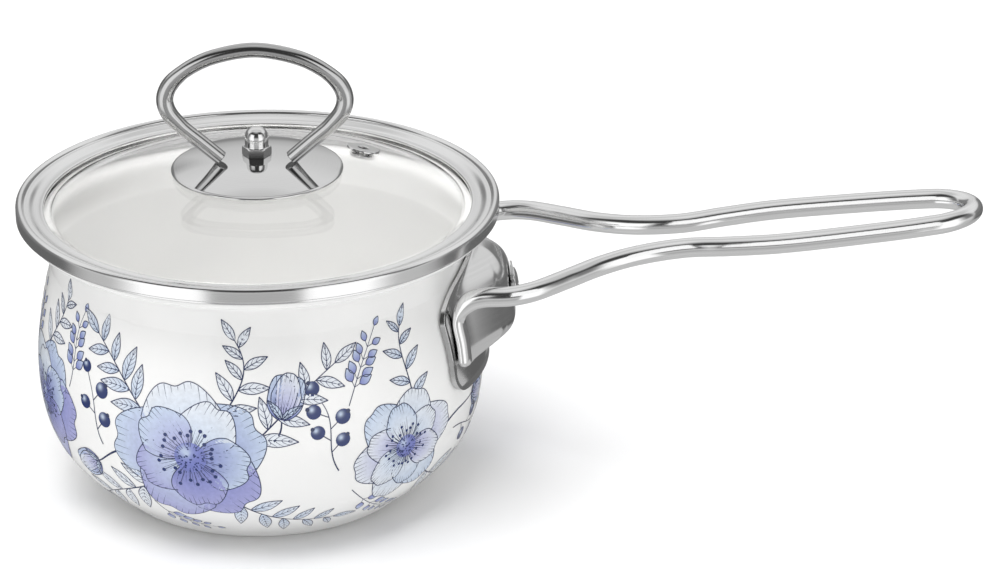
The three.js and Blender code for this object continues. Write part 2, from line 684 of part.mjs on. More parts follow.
const glassUnder = glassTop(GASKET_RADIUS) - GLASS_THICKNESS;
const lowerGasketTop = glassUnder - SEAT_GAP;
const lowerGasketLow = lowerGasketTop - LOWER_GASKET_WALL;
place(lid, 'lower_gasket', ring(boltHole, GASKET_RADIUS, lowerGasketLow, lowerGasketTop), SOFT);

const lowerWasherTop = lowerGasketLow - SEAT_GAP;
const lowerWasherLow = lowerWasherTop - LOWER_WASHER_WALL;
place(lid, 'lower_washer', ring(boltHole, LOWER_WASHER_RADIUS, lowerWasherLow, lowerWasherTop), POLISHED);

// Cap nut: a hexagon with a tall dome, blind-bored for the bolt.
const nutLow = plateTop + SEAT_GAP;
const domeStart = CAP_NUT_HEIGHT - CAP_NUT_DOME_RADIUS;
const boltTop = nutLow + CAP_NUT_HEIGHT - CAP_NUT_CROWN_WALL - SEAT_GAP;
const capDome = revolve([
  [0, CAP_NUT_HEX / 2],
  [CAP_NUT_DOME_RADIUS, CAP_NUT_HEX / 2],
  ...dome(CAP_NUT_DOME_RADIUS, domeStart, CAP_NUT_DOME_RADIUS),
]);
const capBore = drill(boltHole, -SEAT_GAP, CAP_NUT_HEIGHT - CAP_NUT_CROWN_WALL);
const capNut = solid(hexPrism(CAP_NUT_FLATS, CAP_NUT_HEX)).add(solid(capDome)).subtract(solid(capBore));
place(lid, 'cap_nut', fromSolid(capNut).translate(0, 0, nutLow), POLISHED);

const boltHeadTop = lowerWasherLow - SEAT_GAP;
place(lid, 'lid_bolt', revolve([
  ...dome(BOLT_HEAD_RADIUS, boltHeadTop, -BOLT_HEAD_HEIGHT).reverse(),
  [BOLT_RADIUS, boltHeadTop],
  [BOLT_RADIUS, boltTop],
  [0, boltTop],
]), POLISHED);

// Lid handle: one rod bent to a loop, its two square ends standing on the plate. The rod is a little
// flattened, and so wider, where it bends round at the sides.
const legLean = THREE.MathUtils.degToRad(LID_LOOP_LEG_ANGLE);
const footEdge = LID_LOOP_FOOT + LID_ROD_RADIUS * Math.sin(legLean);
const footLift = SEAT_GAP + LID_ROD_RADIUS * Math.cos(legLean);
const footSeat = plateUnder(Math.hypot(footEdge, LID_LOOP_OFFSET - LID_ROD_RADIUS)) + PLATE_WALL;
const loopPoint = (half, z) => new THREE.Vector3(half, -LID_LOOP_OFFSET, z);
const loopFoot = loopPoint(LID_LOOP_FOOT, footSeat + footLift);
const loopBends = LID_LOOP_PLAN.map(([half, rise]) => loopPoint(half, plateTop + rise));
const loopTop = loopPoint(0, plateTop + LID_LOOP_HEIGHT);
const loopHalf = [loopFoot, loopFoot.clone().lerp(loopBends[0], 0.5), ...loopBends];
const opposite = (point) => loopPoint(-point.x, point.z);
const loopRoute = new THREE.CatmullRomCurve3(
  [...loopHalf, loopTop, ...loopHalf.map(opposite).reverse()], false, 'centripetal');

const loopWidest = Math.max(...LID_LOOP_PLAN.map(([half]) => half));
const loopSteps = 2 * loopHalf.length * CURVE_STEPS;
const loopDepth = new THREE.Vector3(0, 1, 0);
const loopRings = Array.from({ length: loopSteps + 1 }, (_, i) => {
  const centre = loopRoute.getPoint(i / loopSteps);
  const inPlane = loopDepth.clone().cross(loopRoute.getTangent(i / loopSteps));
  const bent = THREE.MathUtils.smoothstep(
    Math.abs(centre.x), loopWidest - LID_ROD_BEND_START, loopWidest - LID_ROD_BEND_FULL);
  const halfInPlane = THREE.MathUtils.lerp(LID_ROD_RADIUS, LID_ROD_BEND_HALF, bent);
  return ovalRing(centre, inPlane, loopDepth, halfInPlane, LID_ROD_RADIUS, WIRE_SIDES);
});
place(lid, 'lid_handle', loft(loopRings), SATIN);

export default pan;
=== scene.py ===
import bmesh
import bpy
import mathutils
import numpy as np
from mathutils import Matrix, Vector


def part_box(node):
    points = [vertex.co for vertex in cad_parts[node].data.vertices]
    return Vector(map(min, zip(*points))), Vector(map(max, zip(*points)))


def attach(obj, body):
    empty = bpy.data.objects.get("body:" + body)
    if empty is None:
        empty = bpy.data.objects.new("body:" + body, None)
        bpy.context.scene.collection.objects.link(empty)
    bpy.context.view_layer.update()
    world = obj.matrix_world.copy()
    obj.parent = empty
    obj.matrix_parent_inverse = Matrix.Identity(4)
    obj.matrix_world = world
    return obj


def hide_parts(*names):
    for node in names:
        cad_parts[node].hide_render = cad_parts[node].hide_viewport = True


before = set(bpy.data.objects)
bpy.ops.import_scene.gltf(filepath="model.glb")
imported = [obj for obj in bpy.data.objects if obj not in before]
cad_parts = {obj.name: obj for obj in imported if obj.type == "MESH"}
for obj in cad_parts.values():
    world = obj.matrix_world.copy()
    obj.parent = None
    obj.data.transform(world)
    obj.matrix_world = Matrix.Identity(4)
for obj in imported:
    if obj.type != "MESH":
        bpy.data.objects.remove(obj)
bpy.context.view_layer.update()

mm = 0.001
scene = bpy.context.scene


# Studio: a white floor, a soft box overhead and even walls. What the steel mirrors is painted on the walls:
# two tall boxes either side of the camera, dark between and beside them, grey behind. Two glowing cards by
# the long handle show only as painted reflections. The camera stands 1.5 m off with a long lens, looking
# down 23 degrees.
def feed(tree, made, inputs):
    """Each named input of a node linked to a socket or set to a value."""
    for key, value in inputs.items():
        if isinstance(value, bpy.types.NodeSocket):
            tree.links.new(value, made.inputs[key])
        else:
            made.inputs[key].default_value = value


def node(tree, kind, inputs, **settings):
    """New shader node: its settings first, then its inputs."""
    made = tree.nodes.new("ShaderNode" + kind)
    for key, value in settings.items():
        setattr(made, key, value)
    feed(tree, made, inputs)
    return made


def opaque(colour):
    """A grey, or the three values of a colour, with full cover."""
    return (*np.broadcast_to(colour, 3), 1.0)


def ramp(tree, factor, *stops):
    """Colour ramp over a factor from (place, grey or colour) stops."""
    made = node(tree, "ValToRGB", {"Fac": factor})
    steps = made.color_ramp.elements
    while len(steps) < len(stops):
        steps.new(1.0)
    for step, (place, colour) in zip(steps, stops):
        step.position = place
        step.color = opaque(colour)
    return made.outputs["Color"]


def cloud(tree, scale, detail=2.0):
    """Noise from 0 to 1 in the object's own coordinates, with scale cells to the metre."""
    place = node(tree, "TexCoord", {}).outputs["Object"]
    return node(tree, "TexNoise", {"Vector": place, "Scale": scale, "Detail": detail}).outputs["Fac"]


def mottled(tree, spots, dark, light):
    """Two tones of a finish: dark below 0.3 of the noise, light above 0.7 and a ramp between."""
    return ramp(tree, spots, (0.3, dark), (0.7, light))


def new_material(name):
    """New node material, with its tree and its Principled shader."""
    made = bpy.data.materials.new(name)
    made.use_nodes = True
    return made, made.node_tree, made.node_tree.nodes["Principled BSDF"]


def new_object(name, data):
    """New object at the origin, linked to the scene."""
    made = bpy.data.objects.new(name, data)
    scene.collection.objects.link(made)
    return made


def flat_sheet(name, corner, along, up):
    """Flat four-sided sheet of the studio, from one corner and the two edges that leave it."""
    corner, along, up = (np.array(part, float) for part in (corner, along, up))
    mesh = bpy.data.meshes.new(name)
    mesh.from_pydata([corner.tolist(), (corner + along).tolist(), (corner + along + up).tolist(),
                      (corner + up).tolist()], [], [[0, 1, 2, 3]])
    sheet = new_object(name, mesh)
    return sheet


FLOOR_SIZE = 12.0
PAINT_CELLS = 1.5
floor = flat_sheet("floor", (-FLOOR_SIZE / 2, -FLOOR_SIZE / 2, 0), (FLOOR_SIZE, 0, 0), (0, FLOOR_SIZE, 0))
floor_paint, tree, shader = new_material("floor paint")
feed(tree, shader, {"Base Color": mottled(tree, cloud(tree, PAINT_CELLS), 0.88, 0.89),
                    "Roughness": 0.9, "Specular IOR Level": 0.1})
floor.data.materials.append(floor_paint)
floor.visible_glossy = False


def reflection_glow_card(name, corner, along, up, glow):
    """Glowing card seen only in reflections, a painted reflection: it lights nothing else and casts no
    shadow.
    """
    card = flat_sheet(name, corner, along, up)
    paint, tree, shader = new_material(name)
    feed(tree, shader, {"Emission Color": mottled(tree, cloud(tree, PAINT_CELLS), 0.96, 1.0),
                        "Emission Strength": glow, "Base Color": opaque(0), "Specular IOR Level": 0.0})
    card.data.materials.append(paint)
    card.visible_camera = card.visible_diffuse = False
    card.visible_transmission = card.visible_shadow = False


reflection_glow_card("front card", corner=(0.10, -0.20, 0.13), along=(0.22, 0, 0), up=(0, 0, 0.225), glow=1.15)
reflection_glow_card("floor card", corner=(0.12, -0.06, 0.001), along=(0.148, 0, 0), up=(0, 0.10, 0), glow=0.62)

world = bpy.data.worlds.new("studio walls")
world.use_nodes = True
scene.world = world
tree = world.node_tree
toward = node(tree, "SeparateXYZ", {"Vector": node(tree, "TexCoord", {}).outputs["Generated"]}).outputs


def maths(operation, *values):
    """Math node of the walls: an operation on sockets or values."""
    return node(world.node_tree, "Math", dict(enumerate(values)), operation=operation).outputs[0]


def blend(factor, start, end):
    """Mix by a factor of two tones of the walls, each a socket or a grey."""
    tones = [tone if isinstance(tone, bpy.types.NodeSocket) else opaque(tone) for tone in (start, end)]
    mixed = node(world.node_tree, "MixRGB", {"Fac": factor, "Color1": tones[0], "Color2": tones[1]})
    return mixed.outputs["Color"]


BOX_WHITE, FLAG_GREY, ROOM_GREY = 1.25, 0.14, 0.75
level_length = maths("SQRT", maths("ADD", maths("MULTIPLY", toward["X"], toward["X"]),
                                   maths("MULTIPLY", toward["Y"], toward["Y"])))
sideways = maths("DIVIDE", maths("ABSOLUTE", toward["X"]), maths("MAXIMUM", level_length, 0.001))
height = maths("MULTIPLY_ADD", toward["Z"], 0.5, 0.5)
behind = ramp(tree, height, (0.0, 0.6), (0.3, 0.4), (0.46, 0.26), (0.52, 0.5), (0.6, 0.66), (0.7, 0.74),
              (0.8, 0.86), (0.88, 0.84), (0.93, 0.6), (1.0, 0.85))
ahead = ramp(tree, height, (0.0, 0.66), (0.2, 0.58), (0.31, 0.44), (0.42, 0.56), (0.48, 0.6), (0.56, 0.16),
             (0.64, 0.05), (0.94, 0.05), (0.97, 0.45), (1.0, 0.85))
box_across = ramp(tree, sideways, (0.34, 0.0), (0.44, 1.0), (0.82, 1.0), (0.95, 0.12))
box_upright = ramp(tree, height, (0.2, 0.0), (0.28, 1.0), (0.76, 1.0), (0.83, 0.0))
boxes = maths("MULTIPLY", box_across, box_upright)
front = blend(boxes, ahead, BOX_WHITE)
backwards = maths("MULTIPLY_ADD", toward["Y"], 1.0, 0.5)
half = blend(ramp(tree, backwards, (0.42, 0.0), (0.58, 1.0)), front, behind)
flag_across = maths("MULTIPLY", ramp(tree, sideways, (0.2, 0.0), (0.35, 1.0)),
                    ramp(tree, backwards, (0.57, 0.0), (0.69, 1.0)))
flag_upright = ramp(tree, height, (0.24, 0.0), (0.285, 1.0), (0.32, 1.0), (0.37, 0.75), (0.66, 0.85),
                    (0.72, 0.0))
mirrored = blend(maths("MULTIPLY", flag_across, flag_upright), half, FLAG_GREY)
rays = node(tree, "LightPath", {}).outputs
walls = blend(rays["Is Glossy Ray"], ROOM_GREY, mirrored)
feed(tree, tree.nodes["Background"], {"Color": blend(rays["Is Camera Ray"], walls, 1.0)})

OVERHEAD_PLACE = mathutils.Vector((-0.2, -0.25, 1.5))
OVERHEAD_SIDE, OVERHEAD_WATTS = 1.2, 20.0
lamp = bpy.data.lights.new("overhead box", "AREA")
lamp.shape = "RECTANGLE"
lamp.size, lamp.size_y, lamp.energy = OVERHEAD_SIDE, OVERHEAD_SIDE, OVERHEAD_WATTS
overhead_box = new_object("overhead box", lamp)
overhead_box.location = OVERHEAD_PLACE
overhead_box.rotation_euler = (-OVERHEAD_PLACE).to_track_quat("-Z", "Y").to_euler()
overhead_box.visible_glossy = False

PHOTO_WIDTH = 1000
FOCAL_PIXELS = 4274
SENSOR_WIDTH = 36.0
CAMERA_PLACE = np.array([65.7, -1395.5, 671.2]) * mm
CAMERA_PITCH = 23.2
CAMERA_TURN = -0.8
lens = bpy.data.cameras.new("camera")
lens.sensor_width = SENSOR_WIDTH
lens.lens = SENSOR_WIDTH * FOCAL_PIXELS / PHOTO_WIDTH
lens.clip_start, lens.clip_end = 0.05, 50.0
camera = new_object("camera", lens)
camera.location = CAMERA_PLACE
camera.rotation_euler = np.radians([90 - CAMERA_PITCH, 0, CAMERA_TURN])
scene.camera = camera
scene.view_settings.view_transform = "Standard"


# Pot: a bowl drawn from one steel sheet, out-turned at the rim and fired with white enamel.
# Its sides swell to a belly below the middle and draw in to a short straight neck.
def bezier(start, start_pull, end_pull, end, steps=40):
    """Cubic Bézier curve in the plane: its ends and two control points weighed by (1-t)³, 3t(1-t)²,
    3t²(1-t) and t³."""
    t = np.linspace(0, 1, steps)[:, None]
    points = [np.array(p, float) for p in (start, start_pull, end_pull, end)]
    weights = [(1 - t) ** 3, 3 * t * (1 - t) ** 2, 3 * t**2 * (1 - t), t**3]
    return sum(w * p for w, p in zip(weights, points))


def walk_along(line):
    """Distance walked along a line to each of its points: the running sum of the lengths between them."""
    return np.concatenate([[0], np.cumsum(np.linalg.norm(np.diff(line, axis=0), axis=1))])


def even(line, spacing):
    """The same line of (radius, height) points, with more put in so that no gap is wider than spacing."""
    walked = walk_along(line)
    stops = np.union1d(walked, np.arange(0, walked[-1], spacing))
    return np.stack([np.interp(stops, walked, line[:, axis]) for axis in (0, 1)], -1)


def grid_quads(rows, columns, start=0):
    """Quads of a (rows, columns) grid of points, numbered row by row from start."""
    index = start + np.arange(rows * columns).reshape(rows, columns)
    return np.stack([index[:-1, :-1], index[:-1, 1:], index[1:, 1:], index[1:, :-1]], -1).reshape(-1, 4)


MERGE_WITHIN, SHARP_FROM = 0.001 * mm, np.radians(40)


def skin(name, grid, grain):
    """Mesh over a (rows, columns) grid of points: a quad between each four neighbours, and the grain as its
    UV. Points that fall together, at a seam or a pole, are merged, and the faces are turned outwards."""
    quads = grid_quads(*grid.shape[:2])
    mesh = bpy.data.meshes.new(name)
    mesh.from_pydata(grid.reshape(-1, 3).tolist(), [], quads.tolist())
    mesh.uv_layers.new(name="grain").data.foreach_set("uv", grain.reshape(-1, 2)[quads.ravel()].ravel())
    work = bmesh.new()
    work.from_mesh(mesh)
    bmesh.ops.remove_doubles(work, verts=work.verts, dist=MERGE_WITHIN)
    bmesh.ops.recalc_face_normals(work, faces=work.faces)
    work.to_mesh(mesh)
    work.free()
    mesh.polygons.foreach_set("use_smooth", np.ones(len(mesh.polygons), bool))
    mesh.set_sharp_from_angle(angle=SHARP_FROM)
    return new_object(name, mesh)


def turned(name, profile, steps=96, seat=(0, 0, 0), axis=(0, 0, 1)):
    """Solid of revolution: each (radius, height) of the profile carried round an axis through the seat.
    The grain is the distance round at the widest place, and the distance along the profile."""
    angle = np.linspace(0, 2 * np.pi, steps + 1)
    radius, height = profile.T[:, :, None]
    up = np.array(axis, float)
    side = np.cross((0, 1, 0), up)
    side /= np.linalg.norm(side)
    round_axis = np.cos(angle)[:, None] * side + np.sin(angle)[:, None] * np.cross(up, side)
    grid = np.array(seat) + radius[:, :, None] * round_axis + height[:, :, None] * up
    grain = np.stack(np.broadcast_arrays(angle * radius.max(), walk_along(profile)[:, None]), -1)
    return skin(name, grid, grain)


POT_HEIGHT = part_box("pot_body")[1].z
POT_WALL = 1.2 * mm
BASE_RADIUS, BASE_EDGE = 53.4 * mm, 1.2 * mm
FLARE_ANGLE, FLARE_PULL = np.radians(41.7), 17.6 * mm
BELLY_RADIUS, BELLY_HEIGHT = 79.3 * mm, 49 * mm
BELLY_PULL_DOWN, BELLY_PULL_UP = 31 * mm, 16.5 * mm
NECK_RADIUS, NECK_LOW, NECK_TOP, NECK_PULL = 73.7 * mm, 86 * mm, 94 * mm, 2.5 * mm
RIM_RADIUS, RIM_LOW, RIM_PULL = 82.5 * mm, 102 * mm, 5.5 * mm

base_corner = np.array([BASE_RADIUS, BASE_EDGE / 2])
flare = FLARE_PULL * np.array([np.cos(FLARE_ANGLE), np.sin(FLARE_ANGLE)])
pot_outside = np.vstack([
    [[0, 0], [BASE_RADIUS - BASE_EDGE, 0]],
    bezier((BASE_RADIUS - BASE_EDGE, 0), (BASE_RADIUS - BASE_EDGE / 2, 0), base_corner, base_corner, 6)[1:],
    bezier(base_corner, base_corner + flare, (BELLY_RADIUS, BELLY_HEIGHT - BELLY_PULL_DOWN),
           (BELLY_RADIUS, BELLY_HEIGHT), 60)[1:],
    bezier((BELLY_RADIUS, BELLY_HEIGHT), (BELLY_RADIUS, BELLY_HEIGHT + BELLY_PULL_UP),
           (NECK_RADIUS, NECK_LOW - NECK_PULL), (NECK_RADIUS, NECK_LOW))[1:],
    bezier((NECK_RADIUS, NECK_TOP), (NECK_RADIUS, NECK_TOP + RIM_PULL),
           (RIM_RADIUS, RIM_LOW - RIM_PULL), (RIM_RADIUS, RIM_LOW), 24),
    [[RIM_RADIUS, POT_HEIGHT]],
])
pot_outside = even(pot_outside, spacing=1.6 * mm)
travel = np.gradient(pot_outside, axis=0)
into_bowl = np.stack([-travel[:, 1], travel[:, 0]], -1) / np.hypot(*travel.T)[:, None]
pot_inside = pot_outside + POT_WALL * into_bowl
pot_inside[0] = (0, POT_WALL)
pot_inside[-1] = (RIM_RADIUS - POT_WALL, POT_HEIGHT)
pot = turned("pot", np.vstack([pot_outside, pot_inside[::-1]]), steps=200)

ENAMEL_SHADE, ENAMEL_WHITE = (0.837, 0.838, 0.832), (0.866, 0.865, 0.856)
GLAZE = {"Roughness": 0.07, "Specular IOR Level": 0.55}
enamel, tree, shader = new_material("white enamel")
flow = cloud(tree, 30.0)
ripple = node(tree, "Bump", {"Height": flow, "Strength": 0.04, "Distance": 1 * mm})
feed(tree, shader, {"Base Color": mottled(tree, flow, ENAMEL_SHADE, ENAMEL_WHITE),
                    "Normal": ripple.outputs["Normal"], **GLAZE})
pot.data.materials.append(enamel)
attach(pot, "pot")
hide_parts("pot_body")


# Print: a blue floral transfer fired into the glaze all round the pot, drawn in the manner of an engraving.
# Blossoms, buds, berries and leafy sprigs in fine ink lines over pale washes lie a hair above the enamel.
# It is drawn on a flat sheet in mm, across from the front and up from the belly, then wrapped on the wall.
def ink(red, green, blue):
    """Colour of an ink from its printed 0 to 255 values, as linear light."""
    return ((np.array([red, green, blue]) / 255 + 0.055) / 1.055) ** 2.4


LINE_INK, NAVY, PERIWINKLE = ink(50, 58, 90), ink(40, 54, 104), ink(118, 126, 190)
LAVENDER, SKY, MIST = ink(164, 166, 212), ink(196, 210, 230), ink(226, 231, 238)
OUTLINE, HATCH, EDGE_HATCH, MIDRIB, VEIN, STAMEN = 0.34, 0.3, 0.26, 0.42, 0.24, 0.22
PATCH_SPACING, STALK_SPACING, VEIN_SPACING = 1.8, 2.2, 2.6
chance = np.random.default_rng(12)
print_patches = []


def way_of(heading):
    """Step of length 1 on the sheet, (cosine, sine) of its heading."""
    return np.array([np.cos(heading), np.sin(heading)])


def headings_of(line):
    """Heading of a line at each of its points, from its slope there."""
    return np.arctan2(*np.gradient(line, axis=0).T[::-1])


def lay(points, colour, layer):
    """Put a grid of sheet points, with a colour for all or for each of them, on a layer of the transfer."""
    print_patches.append((points, np.broadcast_to(colour, (*points.shape[:2], 3)), layer))


def stroke(line, widths, layer, colour=LINE_INK):
    """Inked line: a ribbon along the sheet's points, half its width to either side of them."""
    along = np.gradient(line, axis=0)
    left = np.stack([-along[:, 1], along[:, 0]], -1) / np.hypot(*along.T)[:, None]
    half = np.broadcast_to(widths, len(line))[:, None] / 2
    lay(np.stack([line + half * left, line - half * left], 1), colour, layer)


def dot(middle, radius, layer, colour, light=None, rings=2, sides=8):
    """Round spot: circles about its middle. A light colour fades in towards a place up and left of it."""
    ring = np.linspace(0, 1, rings)[:, None]
    turn = np.linspace(2 * np.pi, 0, sides + 1)
    points = np.stack(np.broadcast_arrays(ring * np.cos(turn), ring * np.sin(turn)), -1)
    shine = np.exp(-8 * ((points[..., 0] + 0.3) ** 2 + (points[..., 1] - 0.35) ** 2))[..., None]
    tint = colour if light is None else colour + shine * (light - colour)
    lay(np.array(middle) + radius * points, tint, layer)


def blade(root, heading, length, breadth, layer, washes, tip, notch=0.0, bend=0.0):
    """Petal or leaf: a sheet of (s, t), s from root to tip and t from the left edge to the right. Its half
    width swells with s to a round end, or for a tip of 0 closes again to a point. Returns its surface."""
    ahead = way_of(heading)
    right = np.array([ahead[1], -ahead[0]])

    def at(s, t):
        """Root, plus a reach along the heading that t² and t⁴ and the notch cut back, plus t half widths
        and the bend's s² to the right."""
        swell = tip * (0.16 + 0.84 * np.sin(np.pi / 2 * s**0.8)) + (1 - tip) * np.sin(np.pi * s**0.85)
        reach = s * (1 - tip * (0.3 * t**2 + 0.18 * t**4) - notch * np.exp(-((t / 0.25) ** 2)) * s**3)
        sideways = breadth / 2 * swell * t + bend * length * s**2
        return np.array(root) + length * reach[..., None] * ahead + sideways[..., None] * right

    s = np.linspace(0, 1, int(length / PATCH_SPACING) + 2)[:, None]
    t = np.linspace(-1, 1, int(breadth / PATCH_SPACING) + 2)
    s, t = np.broadcast_arrays(s, t)
    wash = washes[0] + (s[..., None] ** 1.2) * (washes[1] - washes[0])
    lay(at(s, t), wash, layer)
    side, over = np.linspace(0, 1, 2 * s.shape[0]), np.linspace(-1, 1, 2 * s.shape[1])
    round_end = at(np.ones_like(over), over)[1:-1] if tip else np.empty((0, 2))
    edge = np.concatenate([at(side, -np.ones_like(side)), round_end, at(side[::-1], np.ones_like(side))])
    stroke(edge, OUTLINE, layer + 0.4)
    return at


def petal(root, heading, length, breadth, layer, washes, notch, bend, lines):
    """Broad petal, hatched with tapering lines outwards from its root and inwards from its edge."""
    at = blade(root, heading, length, breadth, layer, washes, 1.0, notch, bend)
    taper = np.linspace(1, 0.15, 6)
    for t in np.linspace(-0.86, 0.86, lines):
        near, far = chance.uniform(0.34, 0.74), chance.uniform(0.72, 0.92)
        stroke(at(np.linspace(0.08, near, 6), np.full(6, t)), HATCH * taper, layer + 0.5)
        stroke(at(np.linspace(0.985, far, 6), np.full(6, t * 0.97 + 0.05)), EDGE_HATCH * taper, layer + 0.5)


def leaf(root, heading, length, breadth, layer, washes, bend=0.0):
    """Pointed leaf with a midrib and curved side veins."""
    at = blade(root, heading, length, breadth, layer, washes, 0.0, 0.0, bend)
    q = np.linspace(0, 1, 4)
    stroke(at(np.linspace(0, 0.96, 7), np.zeros(7)), np.linspace(MIDRIB, 0.16, 7), layer + 0.5)
    for start in np.linspace(0.12, 0.74, max(4, int(length / VEIN_SPACING))):
        for edge in (-0.9, 0.9):
            stroke(at(start + 0.2 * q**1.4, edge * q), VEIN * (1 - 0.6 * q), layer + 0.5)


def stem(start, start_pull, end_pull, end, width):
    """Stalk: a tapering inked ribbon along a Bézier curve on the sheet. Returns its points."""
    span = np.hypot(*np.subtract(end, start))
    line = bezier(start, start_pull, end_pull, end, int(1.2 * span / STALK_SPACING) + 4)
    stroke(line, np.linspace(width, 0.55 * width, len(line)), 0)
    return line


LEAF_SLIM, TIP_LEAF = 0.36, 0.75


def sprig(start, start_pull, end_pull, end, leaves, length, washes=(MIST, MIST)):
    """Leafy sprig: a stalk with leaves to either side by turns, smaller to the end, and one at its tip."""
    line = stem(start, start_pull, end_pull, end, width=0.6)
    headings = headings_of(line)
    for count, place in enumerate(np.linspace(0.2, 0.93, leaves)):
        point = np.array([np.interp(place, np.linspace(0, 1, len(line)), line[:, k]) for k in (0, 1)])
        side = 1 if count % 2 else -1
        size = length * (1.05 - 0.4 * place) * chance.uniform(0.9, 1.1)
        heading = headings[int(place * (len(line) - 1))] + side * chance.uniform(0.7, 0.95)
        leaf(point, heading, size, LEAF_SLIM * size, 1 + 0.1 * count, washes, bend=-0.12 * side)
    leaf(line[-1], headings[-1], TIP_LEAF * length, TIP_LEAF * LEAF_SLIM * length, 2.5, washes)


BERRY_BRANCH, BERRY_TURN, BRANCH_WIDTH = 3.2, 0.9, 0.36


def berries(start, start_pull, end_pull, end, count, radius):
    """Berry spray: a thin stalk with short branches to either side, each with a navy berry."""
    line = stem(start, start_pull, end_pull, end, width=0.5)
    headings = headings_of(line)
    for number, place in enumerate(np.linspace(0.3, 1.0, count)):
        knot = int(place * (len(line) - 1))
        side = 0 if place == 1 else (1 if number % 2 else -1)
        way = way_of(headings[knot] + BERRY_TURN * side)
        size = radius * chance.uniform(0.85, 1.15)
        berry = line[knot] + (size + BERRY_BRANCH) * way
        stroke(line[knot] + np.linspace(0, BERRY_BRANCH + 0.2, 4)[:, None] * way, BRANCH_WIDTH, 0)
        dot(berry, size, 1, NAVY, SKY, rings=6, sides=18)
        dot(berry + 0.92 * size * way, 0.3 * size, 1.4, LINE_INK)


def buds(start, start_pull, end_pull, end, count, size):
    """Spray of drop-shaped buds on a thread-thin stalk, in pairs that shrink towards its tip."""
    line = stem(start, start_pull, end_pull, end, width=0.36)
    headings = headings_of(line)
    for place in np.linspace(0.25, 1.0, count):
        knot = int(place * (len(line) - 1))
        for turn in ((0.0,) if place == 1 else (-0.75, 0.75)):
            heading = headings[knot] + turn
            foot = line[knot] + 2.2 * way_of(heading)
            stroke(np.linspace(line[knot], foot, 3), VEIN, 0)
            bud = size * (1.2 - 0.5 * place)
            blade(foot, heading, bud, 0.62 * bud, 1, (PERIWINKLE, SKY), 0.0)


def tulip(foot, heading, length):
    """Half-open bud from the side: two petals behind, one in front, and two narrow leaves that cup them."""
    for turn, share, layer in ((-0.3, 0.95, 3), (0.3, 0.95, 4), (0.0, 1.0, 5)):
        petal(foot, heading + turn, share * length, 0.62 * length, layer,
              (PERIWINKLE, SKY) if layer < 5 else (LAVENDER, MIST), 0.02, 0.25 * turn, 7)
    for turn in (-0.6, 0.6):
        leaf(foot, heading + turn, 0.5 * length, 0.15 * length, 6, (SKY, SKY), -0.2 * np.sign(turn))


STAMENS, EYE_SPECKS, SPECK_RADIUS, EYE_LAYER = 26, 46, 0.34, 24


def blossom(middle, radius, petals, turn, washes, notch):
    """Open blossom: a ring of broad petals over a second ring seen between them, and round a dotted eye
    a crown of stamens with dark tips. Petals differ a little in length, and turn about the middle."""
    middle = np.array(middle)
    step = 2 * np.pi / petals
    order = np.concatenate([np.arange(0, petals, 2), np.arange(1, petals, 2)])
    for ring, (reach, wide) in enumerate(((1.0, 1.12), (0.74, 1.06))):
        for count, place in enumerate(order):
            heading = turn + (place + 0.5 * ring) * step
            long = radius * reach * chance.uniform(0.92, 1.04)
            petal(middle + 0.06 * radius * way_of(heading), heading, long,
                  0.74 * wide * step * radius * reach, 3 + 9 * ring + count,
                  washes[(place + ring) % len(washes)], notch, chance.uniform(-0.06, 0.06), 11)
    dot(middle, 0.2 * radius, EYE_LAYER, PERIWINKLE, SKY, rings=4, sides=20)
    spokes = turn + 2 * np.pi * (np.arange(STAMENS) + chance.uniform(-0.3, 0.3, STAMENS)) / STAMENS
    for spoke, reach in zip(spokes, chance.uniform(0.26, 0.42, STAMENS) * radius):
        thread = np.linspace(0.14 * radius, reach, 4)[:, None] * way_of(spoke)
        stroke(middle + thread, STAMEN, EYE_LAYER + 0.4)
        dot(middle + reach * way_of(spoke), 0.026 * radius, EYE_LAYER + 0.6, NAVY)
    specks = 0.185 * radius * np.sqrt(chance.uniform(0, 1, EYE_SPECKS))
    for spoke, reach in zip(chance.uniform(0, 2 * np.pi, EYE_SPECKS), specks):
        dot(middle + reach * way_of(spoke), SPECK_RADIUS, EYE_LAYER + 0.5, NAVY)


ROSE = ((PERIWINKLE, SKY), (SKY, MIST), (LAVENDER, SKY), (SKY, LAVENDER), (PERIWINKLE, LAVENDER))
PALE_ROSE = ((LAVENDER, MIST), (SKY, MIST), (MIST, SKY))


